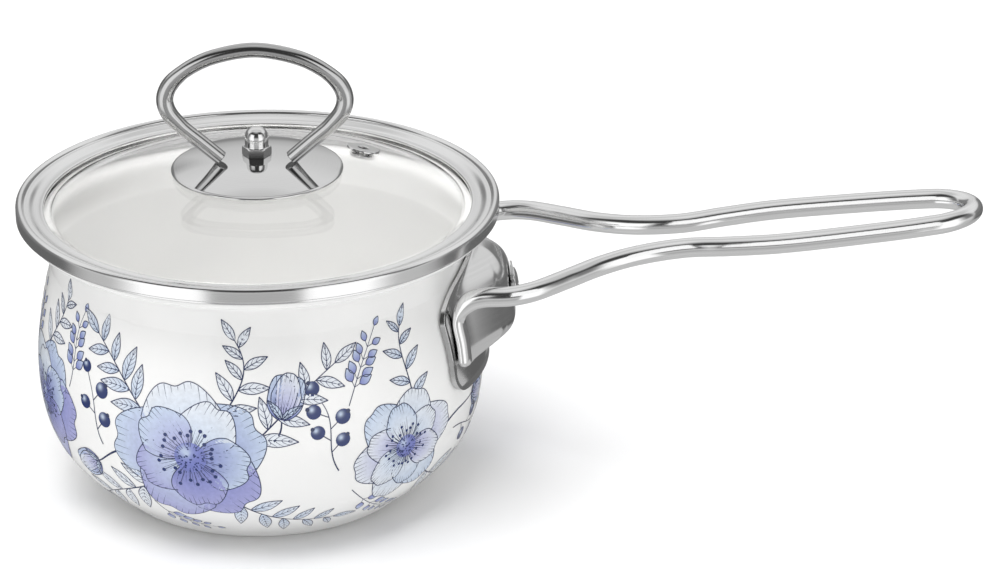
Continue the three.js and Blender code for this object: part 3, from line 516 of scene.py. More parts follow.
def garland(shift):
    """Half of the transfer, shifted across the sheet: sprigs and stalks first, blossoms over them."""
    first = len(print_patches)
    sprig((-30, -2), (-44, 10), (-48, 20), (-62, 30), 9, 15, (SKY, MIST))
    sprig((-14, 2), (-6, 18), (2, 24), (-6, 36), 7, 12)
    sprig((-8, -8), (10, 8), (14, 16), (30, 26), 8, 14)
    sprig((-30, -16), (-44, -26), (-56, -28), (-70, -38), 8, 14)
    sprig((-14, -18), (0, -34), (14, -40), (32, -40), 9, 14, (SKY, MIST))
    sprig((60, 0), (62, 12), (54, 24), (58, 33), 6, 11, (SKY, MIST))
    sprig((66, -22), (76, -34), (90, -38), (106, -36), 8, 14)
    sprig((-98, 6), (-96, 18), (-86, 24), (-84, 35), 7, 12)
    sprig((-106, -14), (-112, -26), (-108, -36), (-96, -43), 7, 13, (SKY, MIST))
    berries((30, -14), (24, -4), (30, 4), (24, 13), 5, 2.9)
    berries((-58, -10), (-62, -4), (-60, 4), (-64, 12), 4, 2.6)
    berries((84, -14), (94, -14), (98, -20), (108, -18), 4, 2.8)
    buds((34, 10), (38, 20), (40, 24), (46, 34), 6, 5)
    buds((-76, 6), (-72, 16), (-76, 24), (-72, 33), 6, 5)
    buds((-40, -30), (-36, -40), (-30, -44), (-20, -46), 5, 5)
    buds((36, -24), (46, -36), (54, -42), (66, -46), 6, 5)
    sprig((112, 0), (120, 10), (112, 20), (122, 33), 8, 13, (SKY, MIST))
    buds((138, -2), (134, 10), (142, 18), (138, 28), 6, 5)
    tulip(stem((-2, -2), (8, -2), (10, 2), (10, 8), width=0.9)[-1], 1.35, 17)
    tulip(stem((-44, -8), (-54, -10), (-58, -16), (-62, -18), width=0.9)[-1], 3.6, 15)
    tulip(stem((78, -10), (86, -6), (90, -8), (98, -6), width=0.9)[-1], -0.25, 14)
    blossom((-22, -7), 29, 5, 0.5, ROSE, 0.1)
    blossom((57, -11), 22, 6, 0.2, PALE_ROSE, 0.05)
    blossom((-97, -5), 24, 5, 1.1, ROSE, 0.1)
    for number in range(first, len(print_patches)):
        points, colours, layer = print_patches[number]
        print_patches[number] = (points + [shift, 0], colours, layer)


HALF_ROUND = np.pi * BELLY_RADIUS / mm
garland(0.0)
garland(HALF_ROUND)

PRINT_LIFT, LAYER_LIFT = 0.06 * mm, 0.005 * mm
wall_walk = walk_along(pot_outside)
belly_walk = np.interp(BELLY_HEIGHT, pot_outside[:, 1], wall_walk)
counts = [points[..., 0].size for points, _, _ in print_patches]
sheet = np.concatenate([points.reshape(-1, 2) for points, _, _ in print_patches])
inks = np.concatenate([colours.reshape(-1, 3) for _, colours, _ in print_patches])
lift = PRINT_LIFT + LAYER_LIFT * np.repeat([layer for _, _, layer in print_patches], counts)
walk = belly_walk + sheet[:, 1] * mm
wall = [np.interp(walk, wall_walk, pot_outside[:, axis]) for axis in (0, 1)]
outward = [np.interp(walk, wall_walk, -into_bowl[:, axis]) for axis in (0, 1)]
from_axis = wall[0] + lift * outward[0]
round_pot = sheet[:, 0] * mm / BELLY_RADIUS - np.pi / 2
print_points = np.stack([from_axis * np.cos(round_pot), from_axis * np.sin(round_pot),
                         wall[1] + lift * outward[1]], -1)
starts = np.cumsum([0] + counts)
print_quads = np.concatenate([grid_quads(*points.shape[:2], start)
                              for start, (points, _, _) in zip(starts, print_patches)])
print_mesh = bpy.data.meshes.new("print")
print_mesh.from_pydata(print_points.tolist(), [], print_quads.tolist())
print_mesh.polygons.foreach_set("use_smooth", np.ones(len(print_quads), bool))
ink_layer = print_mesh.color_attributes.new("ink", "FLOAT_COLOR", "POINT")
ink_layer.data.foreach_set("color", np.column_stack([inks, np.ones(len(inks))]).ravel())
floral_print = new_object("print", print_mesh)
fired_ink, tree, shader = new_material("fired blue ink")
drawn = node(tree, "VertexColor", {}, layer_name="ink").outputs["Color"]
uneven = mottled(tree, cloud(tree, 700.0), 0.88, 1.0)
toned = node(tree, "MixRGB", {"Fac": 1.0, "Color1": drawn, "Color2": uneven}, blend_type="MULTIPLY")
feed(tree, shader, {"Base Color": toned.outputs["Color"], **GLAZE})
print_mesh.materials.append(fired_ink)
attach(floral_print, "pot")


# Rim trim: a narrow stainless strip folded down over both sides of the pot's cut edge.
# It keeps the enamel from chipping where the lid sits, and shows only with the lid off.
def rounded(corners, cuts, steps=6):
    """Closed outline through corners, each cut back along both its sides and bridged by a quadratic Bézier
    curve, (1-t)²a + 2t(1-t)corner + t²b. Corners and cuts are in mm."""
    corners = np.array(corners, float)
    cuts = np.broadcast_to(cuts, len(corners))[:, None]
    back = np.roll(corners, 1, axis=0) - corners
    ahead = np.roll(corners, -1, axis=0) - corners
    a = corners + cuts * back / np.hypot(*back.T)[:, None]
    b = corners + cuts * ahead / np.hypot(*ahead.T)[:, None]
    t = np.linspace(0, 1, steps)[:, None, None]
    curves = (1 - t) ** 2 * a + 2 * t * (1 - t) * corners + t**2 * b
    outline = curves.swapaxes(0, 1).reshape(-1, 2)
    return np.vstack([outline, outline[:1]]) * mm


SCRATCH_DEPTH = 0.05 * mm


def steel(name, tones, roughness, cells, bump):
    """Stainless steel. Noise drawn out along the grain runs its tone and roughness in fine lines, between
    two values of each. Cells are the noise's cells per metre along and across the grain."""
    made, tree, shader = new_material(name)
    grain = node(tree, "UVMap", {}, uv_map="grain").outputs["UV"]
    drawn = node(tree, "Mapping", {"Vector": grain, "Scale": (*cells, 1)}).outputs["Vector"]
    lines = node(tree, "TexNoise", {"Vector": drawn, "Scale": 1.0, "Detail": 3.0}).outputs["Fac"]
    scratch = node(tree, "Bump", {"Height": lines, "Strength": bump, "Distance": SCRATCH_DEPTH})
    feed(tree, shader, {"Base Color": mottled(tree, lines, *tones), "Metallic": 1.0,
                        "Roughness": mottled(tree, lines, *roughness), "Normal": scratch.outputs["Normal"]})
    return made


polished_turned = steel("polished steel, turned", tones=(0.76, 0.82), roughness=(0.06, 0.12),
                        cells=(0.0, 4000.0), bump=0.02)
trim_outline = rounded([
    (83.4, 101.6), (83.4, 105.9), (80.4, 105.9), (80.4, 102.2),
    (81.0, 102.2), (81.0, 105.3), (82.8, 105.3), (82.8, 101.6),
], [0.2, 0.6, 0.6, 0.2, 0.2, 0.3, 0.3, 0.2])
rim_trim = turned("rim_trim", even(trim_outline, spacing=0.5 * mm), steps=192)
rim_trim.data.materials.append(polished_turned)
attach(rim_trim, "pot")
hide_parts("pot_rim_trim")


# Strap and nut: a bent steel strap welded to the pot behind the bracket, with a hexagon nut behind it.
# Both are closed in by the bracket's boss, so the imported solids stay, in plain mill-finish steel.
mill_steel, tree, shader = new_material("mill steel")
scale_marks = cloud(tree, 900.0, detail=3.0)
feed(tree, shader, {"Base Color": mottled(tree, scale_marks, 0.50, 0.58), "Metallic": 1.0,
                    "Roughness": mottled(tree, scale_marks, 0.30, 0.42)})
for hidden in ("mounting_ear", "ear_nut"):
    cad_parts[hidden].data.materials.clear()
    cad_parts[hidden].data.materials.append(mill_steel)


# Handle bracket: a plate pressed from one stainless sheet to lie along the pot's wall, polished.
# A hollow boss stands out of its middle for the screw, and its edge is turned out in a fine lip.
def wall_radius(height):
    """Outside radius of the pot at a height, read off its outline above the base."""
    return np.interp(height, pot_outside[2:, 1], pot_outside[2:, 0])


def smooth_step(value):
    """3v² - 2v³ for v held between 0 and 1."""
    held = np.clip(value, 0, 1)
    return held**2 * (3 - 2 * held)


def drilled(piece, seat, axis, radius, reach):
    """Cuts a round hole through a piece along an axis through the seat, reach to either side."""
    drill_line = np.array([[0, -reach], [radius, -reach], [radius, reach], [0, reach]])
    drill = turned("drill", drill_line, 64, seat, axis)
    cut = piece.modifiers.new("hole", "BOOLEAN")
    cut.object = drill
    cut.solver = "EXACT"
    evaluated = piece.evaluated_get(bpy.context.evaluated_depsgraph_get())
    whole, piece_mesh = piece.data, bpy.data.meshes.new_from_object(evaluated)
    piece.modifiers.clear()
    piece.data = piece_mesh
    bpy.data.meshes.remove(whole)
    bpy.data.objects.remove(drill)


BRACKET_WALL, BRACKET_STANDOFF = 1.2 * mm, 0.4 * mm
BRACKET_LOW, BRACKET_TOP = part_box("handle_bracket")[0].z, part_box("handle_bracket")[1].z
BRACKET_HALF_WIDTH, BRACKET_TOP_HALF_WIDTH = 42.6 * mm, 9.3 * mm
BRACKET_ARCH, BRACKET_CORNER, BRACKET_FLANGE = 16 * mm, 8 * mm, 8.4 * mm
BRACKET_LIP, BRACKET_LIP_WIDTH = 0.5 * mm, 2.2 * mm
BOSS_HALF_WIDTH, BOSS_DEPTH, BOSS_TILT = 33 * mm, 11.4 * mm, np.radians(8)
BOSS_FRONT_SHARE, BOSS_BOW_SHARE = 0.47, 0.2
BOSS_EDGE_SOFT, BOSS_FOOT_SOFT, BOSS_RUN_OUT = 0.1, 0.2, 0.1
BOSS_LOW, BOSS_TOP = 56.5 * mm, 90 * mm
BOSS_LOW_ROUND, BOSS_TOP_ROUND = 8 * mm, 11 * mm
SCREW_HEIGHT = 72 * mm


def bracket_half_width(height):
    """Half the plate's width: an arch of part of an ellipse, upright sides and round lower corners."""
    in_arch = np.clip(height - BRACKET_TOP + BRACKET_ARCH, 0, BRACKET_ARCH) / BRACKET_ARCH
    arch_cut = 1 - (BRACKET_TOP_HALF_WIDTH / BRACKET_HALF_WIDTH) ** 2
    in_corner = np.clip(BRACKET_LOW + BRACKET_CORNER - height, 0, BRACKET_CORNER)
    corner = BRACKET_CORNER - np.sqrt(BRACKET_CORNER**2 - in_corner**2)
    return BRACKET_HALF_WIDTH * np.sqrt(1 - arch_cut * in_arch**2) - corner


def boss_foot(height, inset):
    """Half the boss's width where it meets the plate, which keeps a flange all round."""
    return np.minimum(BOSS_HALF_WIDTH, bracket_half_width(height) - BRACKET_FLANGE) - inset / 2


def soft_min(first, second, width):
    """The lesser of two, rounded off where they are closer than the width: their mix less w·h·(1-h)."""
    share = np.clip(0.5 + (second - first) / (2 * width), 0, 1)
    return second + (first - second) * share - width * share * (1 - share)


def boss_rise(across, height, inset):
    """How far the boss stands out of the plate: a leaning front plane less the wall, times a plan whose
    front bows back with the fourth power of the width and whose sides are straight, times an end
    e = sqrt(1 - s²) that runs out into the plate as (1 + r) e² / (e + r)."""
    front = wall_radius(SCREW_HEIGHT) + BOSS_DEPTH + (SCREW_HEIGHT - height) * np.tan(BOSS_TILT)
    q = np.abs(across) / boss_foot(height, inset)
    bowed = 1 - BOSS_BOW_SHARE * (np.minimum(q, BOSS_FRONT_SHARE) / BOSS_FRONT_SHARE) ** 4
    slanted = (1 - BOSS_BOW_SHARE) * (1 - q) / (1 - BOSS_FRONT_SHARE)
    plan = -soft_min(-soft_min(bowed, slanted, BOSS_EDGE_SOFT), 0, BOSS_FOOT_SOFT)
    above = (height - BOSS_TOP + BOSS_TOP_ROUND) / (BOSS_TOP_ROUND - inset)
    below = (BOSS_LOW + BOSS_LOW_ROUND - height) / (BOSS_LOW_ROUND - inset)
    end = np.sqrt(1 - np.clip(np.maximum(above, below), 0, 1) ** 2)
    return (front - wall_radius(height)) * plan * (1 + BOSS_RUN_OUT) * end**2 / (end + BOSS_RUN_OUT)


FINE_COLUMNS_TO = 1.1


def bracket_face(standoff, inset):
    """One face of the bracket on a grid of height and width, standing off the round wall: the circle's
    x = sqrt(r² - y²), with the lip and the boss added. Its columns are fine over the boss and the lip."""
    heights = np.linspace(BRACKET_LOW, BRACKET_TOP, 110)[:, None]
    foot = boss_foot(heights, 0)
    in_boss = np.linspace(0, FINE_COLUMNS_TO, 56) * foot
    wing_share = np.concatenate([np.linspace(0.06, 0.66, 10), np.linspace(0.7, 1, 12)])
    wing = FINE_COLUMNS_TO * foot + wing_share * (bracket_half_width(heights) - FINE_COLUMNS_TO * foot)
    half = np.hstack([in_boss, wing])
    across = np.hstack([-half[:, :0:-1], half])
    height = np.broadcast_to(heights, across.shape)
    to_side = bracket_half_width(height) - np.abs(across)
    to_edge = np.minimum(np.minimum(to_side, height - BRACKET_LOW), BRACKET_TOP - height)
    lip = BRACKET_LIP * smooth_step(1 - to_edge / BRACKET_LIP_WIDTH)
    out = np.sqrt((wall_radius(height) + standoff + lip) ** 2 - across**2)
    return np.stack([out + boss_rise(across, height, inset), across, height], -1)


bracket_front = bracket_face(BRACKET_STANDOFF + BRACKET_WALL, 0)
bracket_back = bracket_face(BRACKET_STANDOFF, BRACKET_WALL)


def sheet_skin(name, front, back):
    """Closed sheet between two faces: each row runs out over the front and home over the back, and the first
    and last rows close on the line midway between the two. The grain is (width, height)."""
    rows = np.concatenate([front, back[:, ::-1], front[:, :1]], axis=1)
    middle = (front + back) / 2
    ends = np.concatenate([middle, middle[:, ::-1], middle[:, :1]], axis=1)
    grid = np.concatenate([ends[:1], rows, ends[-1:]])
    return skin(name, grid, grid[:, :, 1:])


SCREW_RADIUS, SCREW_SLACK = 2.5 * mm, 0.4 * mm
screw_seat = np.array([wall_radius(SCREW_HEIGHT), 0, SCREW_HEIGHT])
screw_axis = np.array([np.cos(BOSS_TILT), 0, np.sin(BOSS_TILT)])

bracket = sheet_skin("bracket", bracket_front, bracket_back)
drilled(bracket, screw_seat, screw_axis, SCREW_RADIUS + SCREW_SLACK, reach=30 * mm)
edge = bracket.modifiers.new("worn edge", "BEVEL")
edge.width = 0.3 * mm
edge.segments = 2
edge.limit_method = "ANGLE"
edge.angle_limit = np.radians(50)
polished_sheet = steel("polished steel, sheet", tones=(0.70, 0.74), roughness=(0.12, 0.16),
                       cells=(40.0, 1500.0), bump=0.01)
bracket.data.materials.clear()
bracket.data.materials.append(polished_sheet)
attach(bracket, "pot")
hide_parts("handle_bracket")


# Washer and screw: a plain steel washer and a domed screw with a cross recess, bright finished.
# The screw goes through the boss into the nut behind it and clamps the bracket to the pot.
BOSS_FRONT = (BRACKET_STANDOFF + BRACKET_WALL + BOSS_DEPTH) * screw_axis[0]
SEAT_GAP = 0.3 * mm
WASHER_RADIUS, WASHER_WALL, WASHER_EDGE = 7.8 * mm, 0.6 * mm, 0.15
washer_low = BOSS_FRONT + SEAT_GAP
washer_hole = SCREW_RADIUS + SCREW_SLACK
washer_section = np.array([
    (WASHER_RADIUS, washer_low), (WASHER_RADIUS, washer_low + WASHER_WALL),
    (washer_hole, washer_low + WASHER_WALL), (washer_hole, washer_low),
]) / mm
washer_outline = even(rounded(washer_section, WASHER_EDGE), spacing=0.5 * mm)
washer = turned("washer", washer_outline, 96, screw_seat, screw_axis)
washer.data.materials.append(polished_turned)
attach(washer, "pot")
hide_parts("bracket_washer")

SCREW_HEAD_RADIUS, SCREW_HEAD_HEIGHT = 5.5 * mm, 1.3 * mm
SCREW_END = 4.84 * mm
RECESS_REACH, RECESS_HALF_WIDTH, RECESS_DEPTH = 2.7 * mm, 0.55 * mm, 0.8 * mm
RECESS_EDGE, RECESS_SLOPE = 1.25, 0.5
head_low = washer_low + WASHER_WALL + SEAT_GAP
turn = np.linspace(0, np.pi / 2, 60)
head_dome = np.stack([SCREW_HEAD_RADIUS * np.cos(turn), head_low + SCREW_HEAD_HEIGHT * np.sin(turn)], -1)
screw_line = np.vstack([
    even(np.array([(0, SCREW_END), (SCREW_RADIUS, SCREW_END), (SCREW_RADIUS, head_low),
                   (SCREW_HEAD_RADIUS, head_low)]), spacing=0.6 * mm),
    head_dome[1:],
])
screw = turned("screw", screw_line, 160, screw_seat, screw_axis)
points = np.empty(len(screw.data.vertices) * 3)
screw.data.vertices.foreach_get("co", points)
points = points.reshape(-1, 3)
screw_side = np.cross((0, 1, 0), screw_axis)
off_seat = points - screw_seat
across = off_seat @ screw_side
level = off_seat[:, 1]
bar = np.minimum(np.maximum(np.abs(across) / RECESS_HALF_WIDTH, np.abs(level) / RECESS_REACH),
                 np.maximum(np.abs(level) / RECESS_HALF_WIDTH, np.abs(across) / RECESS_REACH))
on_head = off_seat @ screw_axis > head_low + SCREW_HEAD_HEIGHT / 4
sunk = RECESS_DEPTH * smooth_step((RECESS_EDGE - bar) / RECESS_SLOPE) * on_head
screw.data.vertices.foreach_set("co", (points - sunk[:, None] * screw_axis).ravel())
screw.data.materials.append(polished_turned)
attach(screw, "pot")
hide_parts("bracket_screw")


# Long handle: one stainless wire, satin finished, bent to a waisted loop with its two ends turned down.
# The ends are pressed to an oval and spot welded to the bracket's wings.
def curve_through(points, steps):
    """Centripetal Catmull-Rom curve: through each point, with the slope there set by its neighbours
    weighed by the square root of their distances, as one cubic Hermite stretch between each two."""
    points = np.array(points, float)
    framed = np.vstack([2 * points[:1] - points[1:2], points, 2 * points[-1:] - points[-2:-1]])
    gap = np.sqrt(np.linalg.norm(np.diff(framed, axis=0), axis=1))[:, None]
    p0, p1, p2, p3 = (framed[i:len(framed) - 3 + i] for i in range(4))
    g0, g1, g2 = (gap[i:len(gap) - 2 + i] for i in range(3))
    leave = ((p1 - p0) / g0 - (p2 - p0) / (g0 + g1) + (p2 - p1) / g1) * g1
    arrive = ((p2 - p1) / g1 - (p3 - p1) / (g1 + g2) + (p3 - p2) / g2) * g1
    t = np.linspace(0, 1, steps, endpoint=False)[:, None, None]
    curve = ((2 * t**3 - 3 * t**2 + 1) * p1 + (t**3 - 2 * t**2 + t) * leave
             + (3 * t**2 - 2 * t**3) * p2 + (t**3 - t**2) * arrive)
    return np.vstack([curve.swapaxes(0, 1).reshape(-1, 3), points[-1:]])


def unit(vectors):
    """Vectors at length 1."""
    return vectors / np.linalg.norm(vectors, axis=-1, keepdims=True)


def wire_grid(route, side, half_side, half_up, steps=40):
    """Tube along a route: at each point an ellipse across the travel, with its half sizes along the side
    direction and square to it. Returns the points and their grain, (distance along, distance round)."""
    route_travel = unit(np.gradient(route, axis=0))
    side = unit(side - np.sum(side * route_travel, axis=1, keepdims=True) * route_travel)
    up = np.cross(side, route_travel)
    turn = np.linspace(0, 2 * np.pi, steps + 1)[:, None]
    grid = (route[:, None] + (half_side[:, None, None] * np.cos(turn)) * side[:, None]
            + (half_up[:, None, None] * np.sin(turn)) * up[:, None])
    grain = np.stack(np.broadcast_arrays(walk_along(route)[:, None], turn[:, 0] * half_up.max()), -1)
    return grid, grain


WIRE_RADIUS = 3.5 * mm
LEG_HALF_THICKNESS, LEG_HALF_WIDTH = 2.1 * mm, 3.2 * mm
LEG_TOP_SPREAD, LEG_FOOT_SPREAD = 37.6 * mm, 39.3 * mm
LEG_LENGTH, LEG_BEND, LEG_ROUND = 25 * mm, 8 * mm, 2.5 * mm
ARM_HEIGHT = 83.7 * mm
ARM_RISE = np.tan(np.radians(5.6))
HANDLE_REACH = 181.79 * mm
HANDLE_PLAN = np.array([
    (17.8, 39.4), (25.5, 37.3), (37.5, 29), (49.5, 20.2), (62.5, 14.1), (79.5, 11.4),
    (94.5, 13.7), (111.5, 15.6), (139.5, 14.7), (162.5, 12.8), (172.5, 10.8), (179.5, 5.8),
]) * mm

leg_standoff = BRACKET_STANDOFF + BRACKET_WALL + SEAT_GAP + LEG_HALF_THICKNESS
leg_share = np.array([0, 0.5, 1])
leg_top = ARM_HEIGHT - LEG_BEND
leg_heights = ARM_HEIGHT - LEG_LENGTH + leg_share * (LEG_LENGTH - LEG_BEND)
leg_spreads = LEG_FOOT_SPREAD + leg_share * (LEG_TOP_SPREAD - LEG_FOOT_SPREAD)
leg_out = np.sqrt((wall_radius(leg_heights) + leg_standoff) ** 2 - leg_spreads**2)
leg_x = leg_out[-1]
leg_line = np.stack([leg_out, leg_spreads, leg_heights], -1)
bend = np.radians([150, 120, 90])
bend_along = LEG_BEND * (1 + np.cos(bend))
bend_spread = np.interp(bend_along, (0, HANDLE_PLAN[0, 0]), (LEG_TOP_SPREAD, HANDLE_PLAN[0, 1]))
bend_line = np.stack([leg_x + bend_along, bend_spread,
                      leg_top + LEG_BEND * np.sin(bend) + bend_along * ARM_RISE], -1)
arm_line = np.stack([leg_x + HANDLE_PLAN[:, 0], HANDLE_PLAN[:, 1],
                     ARM_HEIGHT + HANDLE_PLAN[:, 0] * ARM_RISE], -1)
tip = np.array([[leg_x + HANDLE_REACH, 0, ARM_HEIGHT + HANDLE_REACH * ARM_RISE]])
mirror = np.array([1, -1, 1])
half_route = np.vstack([leg_line, bend_line, arm_line])
handle_route = curve_through(np.vstack([half_route, tip, half_route[::-1] * mirror]), 10)

handle_travel = np.gradient(handle_route, axis=0)
roundness = smooth_step((handle_route[:, 2] - leg_top) / LEG_BEND)[:, None]
wall_side = unit(np.array([-LEG_TOP_SPREAD, wall_radius(leg_top), 0.0]))
leg_side = wall_side * np.where(handle_route[:, 1:2] >= 0, 1, mirror)
level_side = unit(np.stack([-handle_travel[:, 1], handle_travel[:, 0], 0 * handle_travel[:, 0]], -1))
handle_side = leg_side + (level_side - leg_side) * roundness
walked = walk_along(handle_route)
from_end = np.minimum(walked, walked[-1] - walked)
end_round = np.sqrt(1 - np.clip(1 - from_end / LEG_ROUND, 0, 1) ** 2)
half_width = (LEG_HALF_WIDTH + (WIRE_RADIUS - LEG_HALF_WIDTH) * roundness[:, 0]) * end_round
half_thick = (LEG_HALF_THICKNESS + (WIRE_RADIUS - LEG_HALF_THICKNESS) * roundness[:, 0]) * end_round
long_handle = skin("handle_wire", *wire_grid(handle_route, handle_side, half_width, half_thick))
satin_wire = steel("satin steel, wire", tones=(0.8, 0.88), roughness=(0.09, 0.15),
                   cells=(20.0, 2500.0), bump=0.04)
long_handle.data.materials.append(satin_wire)
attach(long_handle, "pot")
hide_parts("long_handle")


# Lid band: one stainless strip rolled round the glass, satin finished. Its plain skirt drops over the
# pot's rim, its hollow flange falls to a fine lip over the glass, and a channel holds the glass's edge.
BAND_RADIUS, BAND_TOP, BEAD_RADIUS = 85.0, 108.0, 1.4
bead_turn = np.radians(np.linspace(0, 160, 22))
bead = np.array([BAND_RADIUS, BAND_TOP]) - BEAD_RADIUS + BEAD_RADIUS * np.stack(
    [np.cos(bead_turn), np.sin(bead_turn)], -1)
band_outline = np.vstack([
    bezier((84.2, 103.2), (84.2, 102.8), (85.0, 102.8), (85.0, 103.3), 10),
    bead,
    bezier(bead[-1], (82.1, 106.7), (81.8, 106.85), (81.2, 106.9), 10)[1:],
    bezier((81.2, 106.9), (80.2, 107.0), (79.6, 106.1), (78.4, 105.75), 16)[1:],
    bezier((78.4, 105.75), (77.4, 105.5), (76.6, 105.8), (75.9, 105.9), 12)[1:],
    bezier((75.9, 105.9), (75.4, 105.95), (75.2, 105.7), (75.2, 105.4), 8)[1:],
    [(75.2, 104.9), (77.8, 104.9), (77.8, 100.5), (75.6, 100.5), (75.6, 99.8), (78.6, 99.8),
     (78.6, 105.0), (80.0, 106.2), (84.2, 106.2), (84.2, 103.2)],
]) * mm
lid_band = turned("band", even(band_outline, spacing=0.6 * mm), steps=256)
satin_turned = steel("satin steel, turned", tones=(0.8, 0.9), roughness=(0.12, 0.2),
                     cells=(0.0, 5000.0), bump=0.04)
lid_band.data.materials.append(satin_turned)
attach(lid_band, "lid")
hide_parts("lid_band")


# Lid glass: a disc of clear toughened glass 3.8 mm thick, sagged to a shallow dome with a flat ledge.
# It is drilled for the handle's bolt in the middle and for the steam vent to one side.
GLASS_THICKNESS, GLASS_RADIUS, DOME_RADIUS = 3.8 * mm, 77.5 * mm, 73 * mm
GLASS_RIM_TOP, GLASS_RISE, GLASS_HOLE = 104.6 * mm, 15.25 * mm, 3.5 * mm
GLASS_BEVEL, HOLE_BEVEL = 0.5 * mm, 0.3 * mm
LEDGE_BEND_OUT, LEDGE_BEND_IN, LEDGE_PULL = 2 * mm, 1.5 * mm, 0.3 * mm
DOME_SPHERE = (DOME_RADIUS**2 + GLASS_RISE**2) / (2 * GLASS_RISE)
GLASS_CROWN = GLASS_RIM_TOP + GLASS_RISE


def glass_top(radius):
    """Height of the dome's upper face at a distance from the middle: a cap of a sphere."""
    return GLASS_CROWN - DOME_SPHERE + np.sqrt(DOME_SPHERE**2 - radius**2)


dome_radii = np.linspace(DOME_RADIUS - LEDGE_BEND_IN, GLASS_HOLE + HOLE_BEVEL, 46)
ledge_bend = bezier((DOME_RADIUS + LEDGE_BEND_OUT, GLASS_RIM_TOP), (DOME_RADIUS, GLASS_RIM_TOP),
                    (DOME_RADIUS - LEDGE_PULL, GLASS_RIM_TOP), (dome_radii[0], glass_top(dome_radii[0])), 8)
dome_line = np.vstack([ledge_bend, np.stack([dome_radii[1:], glass_top(dome_radii[1:])], -1)])
glass_low = GLASS_RIM_TOP - GLASS_THICKNESS
hole_top = glass_top(GLASS_HOLE)
glass_outline = np.vstack([
    [(GLASS_RADIUS, glass_low + GLASS_BEVEL), (GLASS_RADIUS, GLASS_RIM_TOP - GLASS_BEVEL),
     (GLASS_RADIUS - GLASS_BEVEL, GLASS_RIM_TOP)],
    dome_line,
    [(GLASS_HOLE, hole_top - HOLE_BEVEL), (GLASS_HOLE, hole_top - GLASS_THICKNESS + HOLE_BEVEL)],
    dome_line[::-1] - [0, GLASS_THICKNESS],
    [(GLASS_RADIUS - GLASS_BEVEL, glass_low), (GLASS_RADIUS, glass_low + GLASS_BEVEL)],
])
VENT_PLACE = np.array([36.7, 26.6]) * mm
VENT_TUBE, VENT_GAP = 3 * mm, 0.3 * mm
vent_seat = np.array([*VENT_PLACE, glass_top(np.hypot(*VENT_PLACE))])
vent_axis = unit(vent_seat - [0, 0, GLASS_CROWN - DOME_SPHERE])
lid_glass = turned("glass", glass_outline, steps=192)
drilled(lid_glass, vent_seat, vent_axis, VENT_TUBE + VENT_GAP, reach=10 * mm)
GLASS_TINT, GLASS_CLEAR, GLASS_SHADE = (0.99, 0.988, 0.983), (0.995, 0.994, 0.99), (0.99, 0.988, 0.985)
clear_glass, tree, shader = new_material("clear glass")
feed(tree, shader, {"Base Color": mottled(tree, cloud(tree, 25.0, detail=1.0), GLASS_TINT, GLASS_CLEAR),
                    "Roughness": 0.0, "IOR": 1.5, "Transmission Weight": 1.0})
lamp_light = node(tree, "LightPath", {}).outputs["Is Shadow Ray"]
let_through = node(tree, "BsdfTransparent", {"Color": opaque(GLASS_SHADE)}).outputs["BSDF"]
see_or_light = node(tree, "MixShader", {0: lamp_light, 1: shader.outputs["BSDF"], 2: let_through})
feed(tree, tree.nodes["Material Output"], {"Surface": see_or_light.outputs[0]})
lid_glass.data.materials.clear()
lid_glass.data.materials.append(clear_glass)
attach(lid_glass, "lid")
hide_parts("lid_glass")


# Steam vent: a hollow eyelet of bright steel, pushed through its hole in the glass from above.
# It has a wide flange on top, and its lower end is spread to a smaller one that holds it in.
VENT_FLANGE, VENT_LOWER_FLANGE, VENT_BORE = 6.1 * mm, 4.6 * mm, 1.8 * mm
VENT_FLANGE_WALL, VENT_SLOPE = 0.7 * mm, 0.3 * mm
vent_top = VENT_GAP + VENT_FLANGE_WALL
vent_under = -GLASS_THICKNESS - VENT_GAP
vent_end = vent_under - VENT_FLANGE_WALL
vent_section = np.array([
    (VENT_TUBE, vent_under), (VENT_TUBE, VENT_GAP), (VENT_FLANGE, VENT_GAP),
    (VENT_FLANGE - VENT_SLOPE, vent_top), (VENT_BORE, vent_top), (VENT_BORE, vent_end),
    (VENT_LOWER_FLANGE, vent_end), (VENT_LOWER_FLANGE, vent_under),
]) / mm
vent_outline = rounded(vent_section, [0.1, 0.1, 0.1, 0.3, 0.6, 0.4, 0.2, 0.1])
vent = turned("eyelet", even(vent_outline, spacing=0.4 * mm), 96, vent_seat, vent_axis)
vent.data.materials.append(polished_turned)
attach(vent, "lid")
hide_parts("vent_eyelet")


# Handle plate: a shallow dished disc of mirror-polished stainless, its edge resting on the glass.
# The lid handle's two ends are welded to it and the bolt goes up through its middle.
PLATE_RADIUS, PLATE_WALL, PLATE_EDGE_ROUND, BOLT_HOLE = 30.2 * mm, 0.9 * mm, 0.35 * mm, 2.9 * mm
PLATE_ABOVE_GLASS = 2.55 * mm
PLATE_CROWN = GLASS_CROWN + PLATE_ABOVE_GLASS
plate_edge = glass_top(PLATE_RADIUS) + SEAT_GAP


def plate_under(radius):
    """Height of the plate's lower face: a parabola from its crown to its edge on the glass."""
    return PLATE_CROWN - (PLATE_CROWN - plate_edge) * (radius / PLATE_RADIUS) ** 2


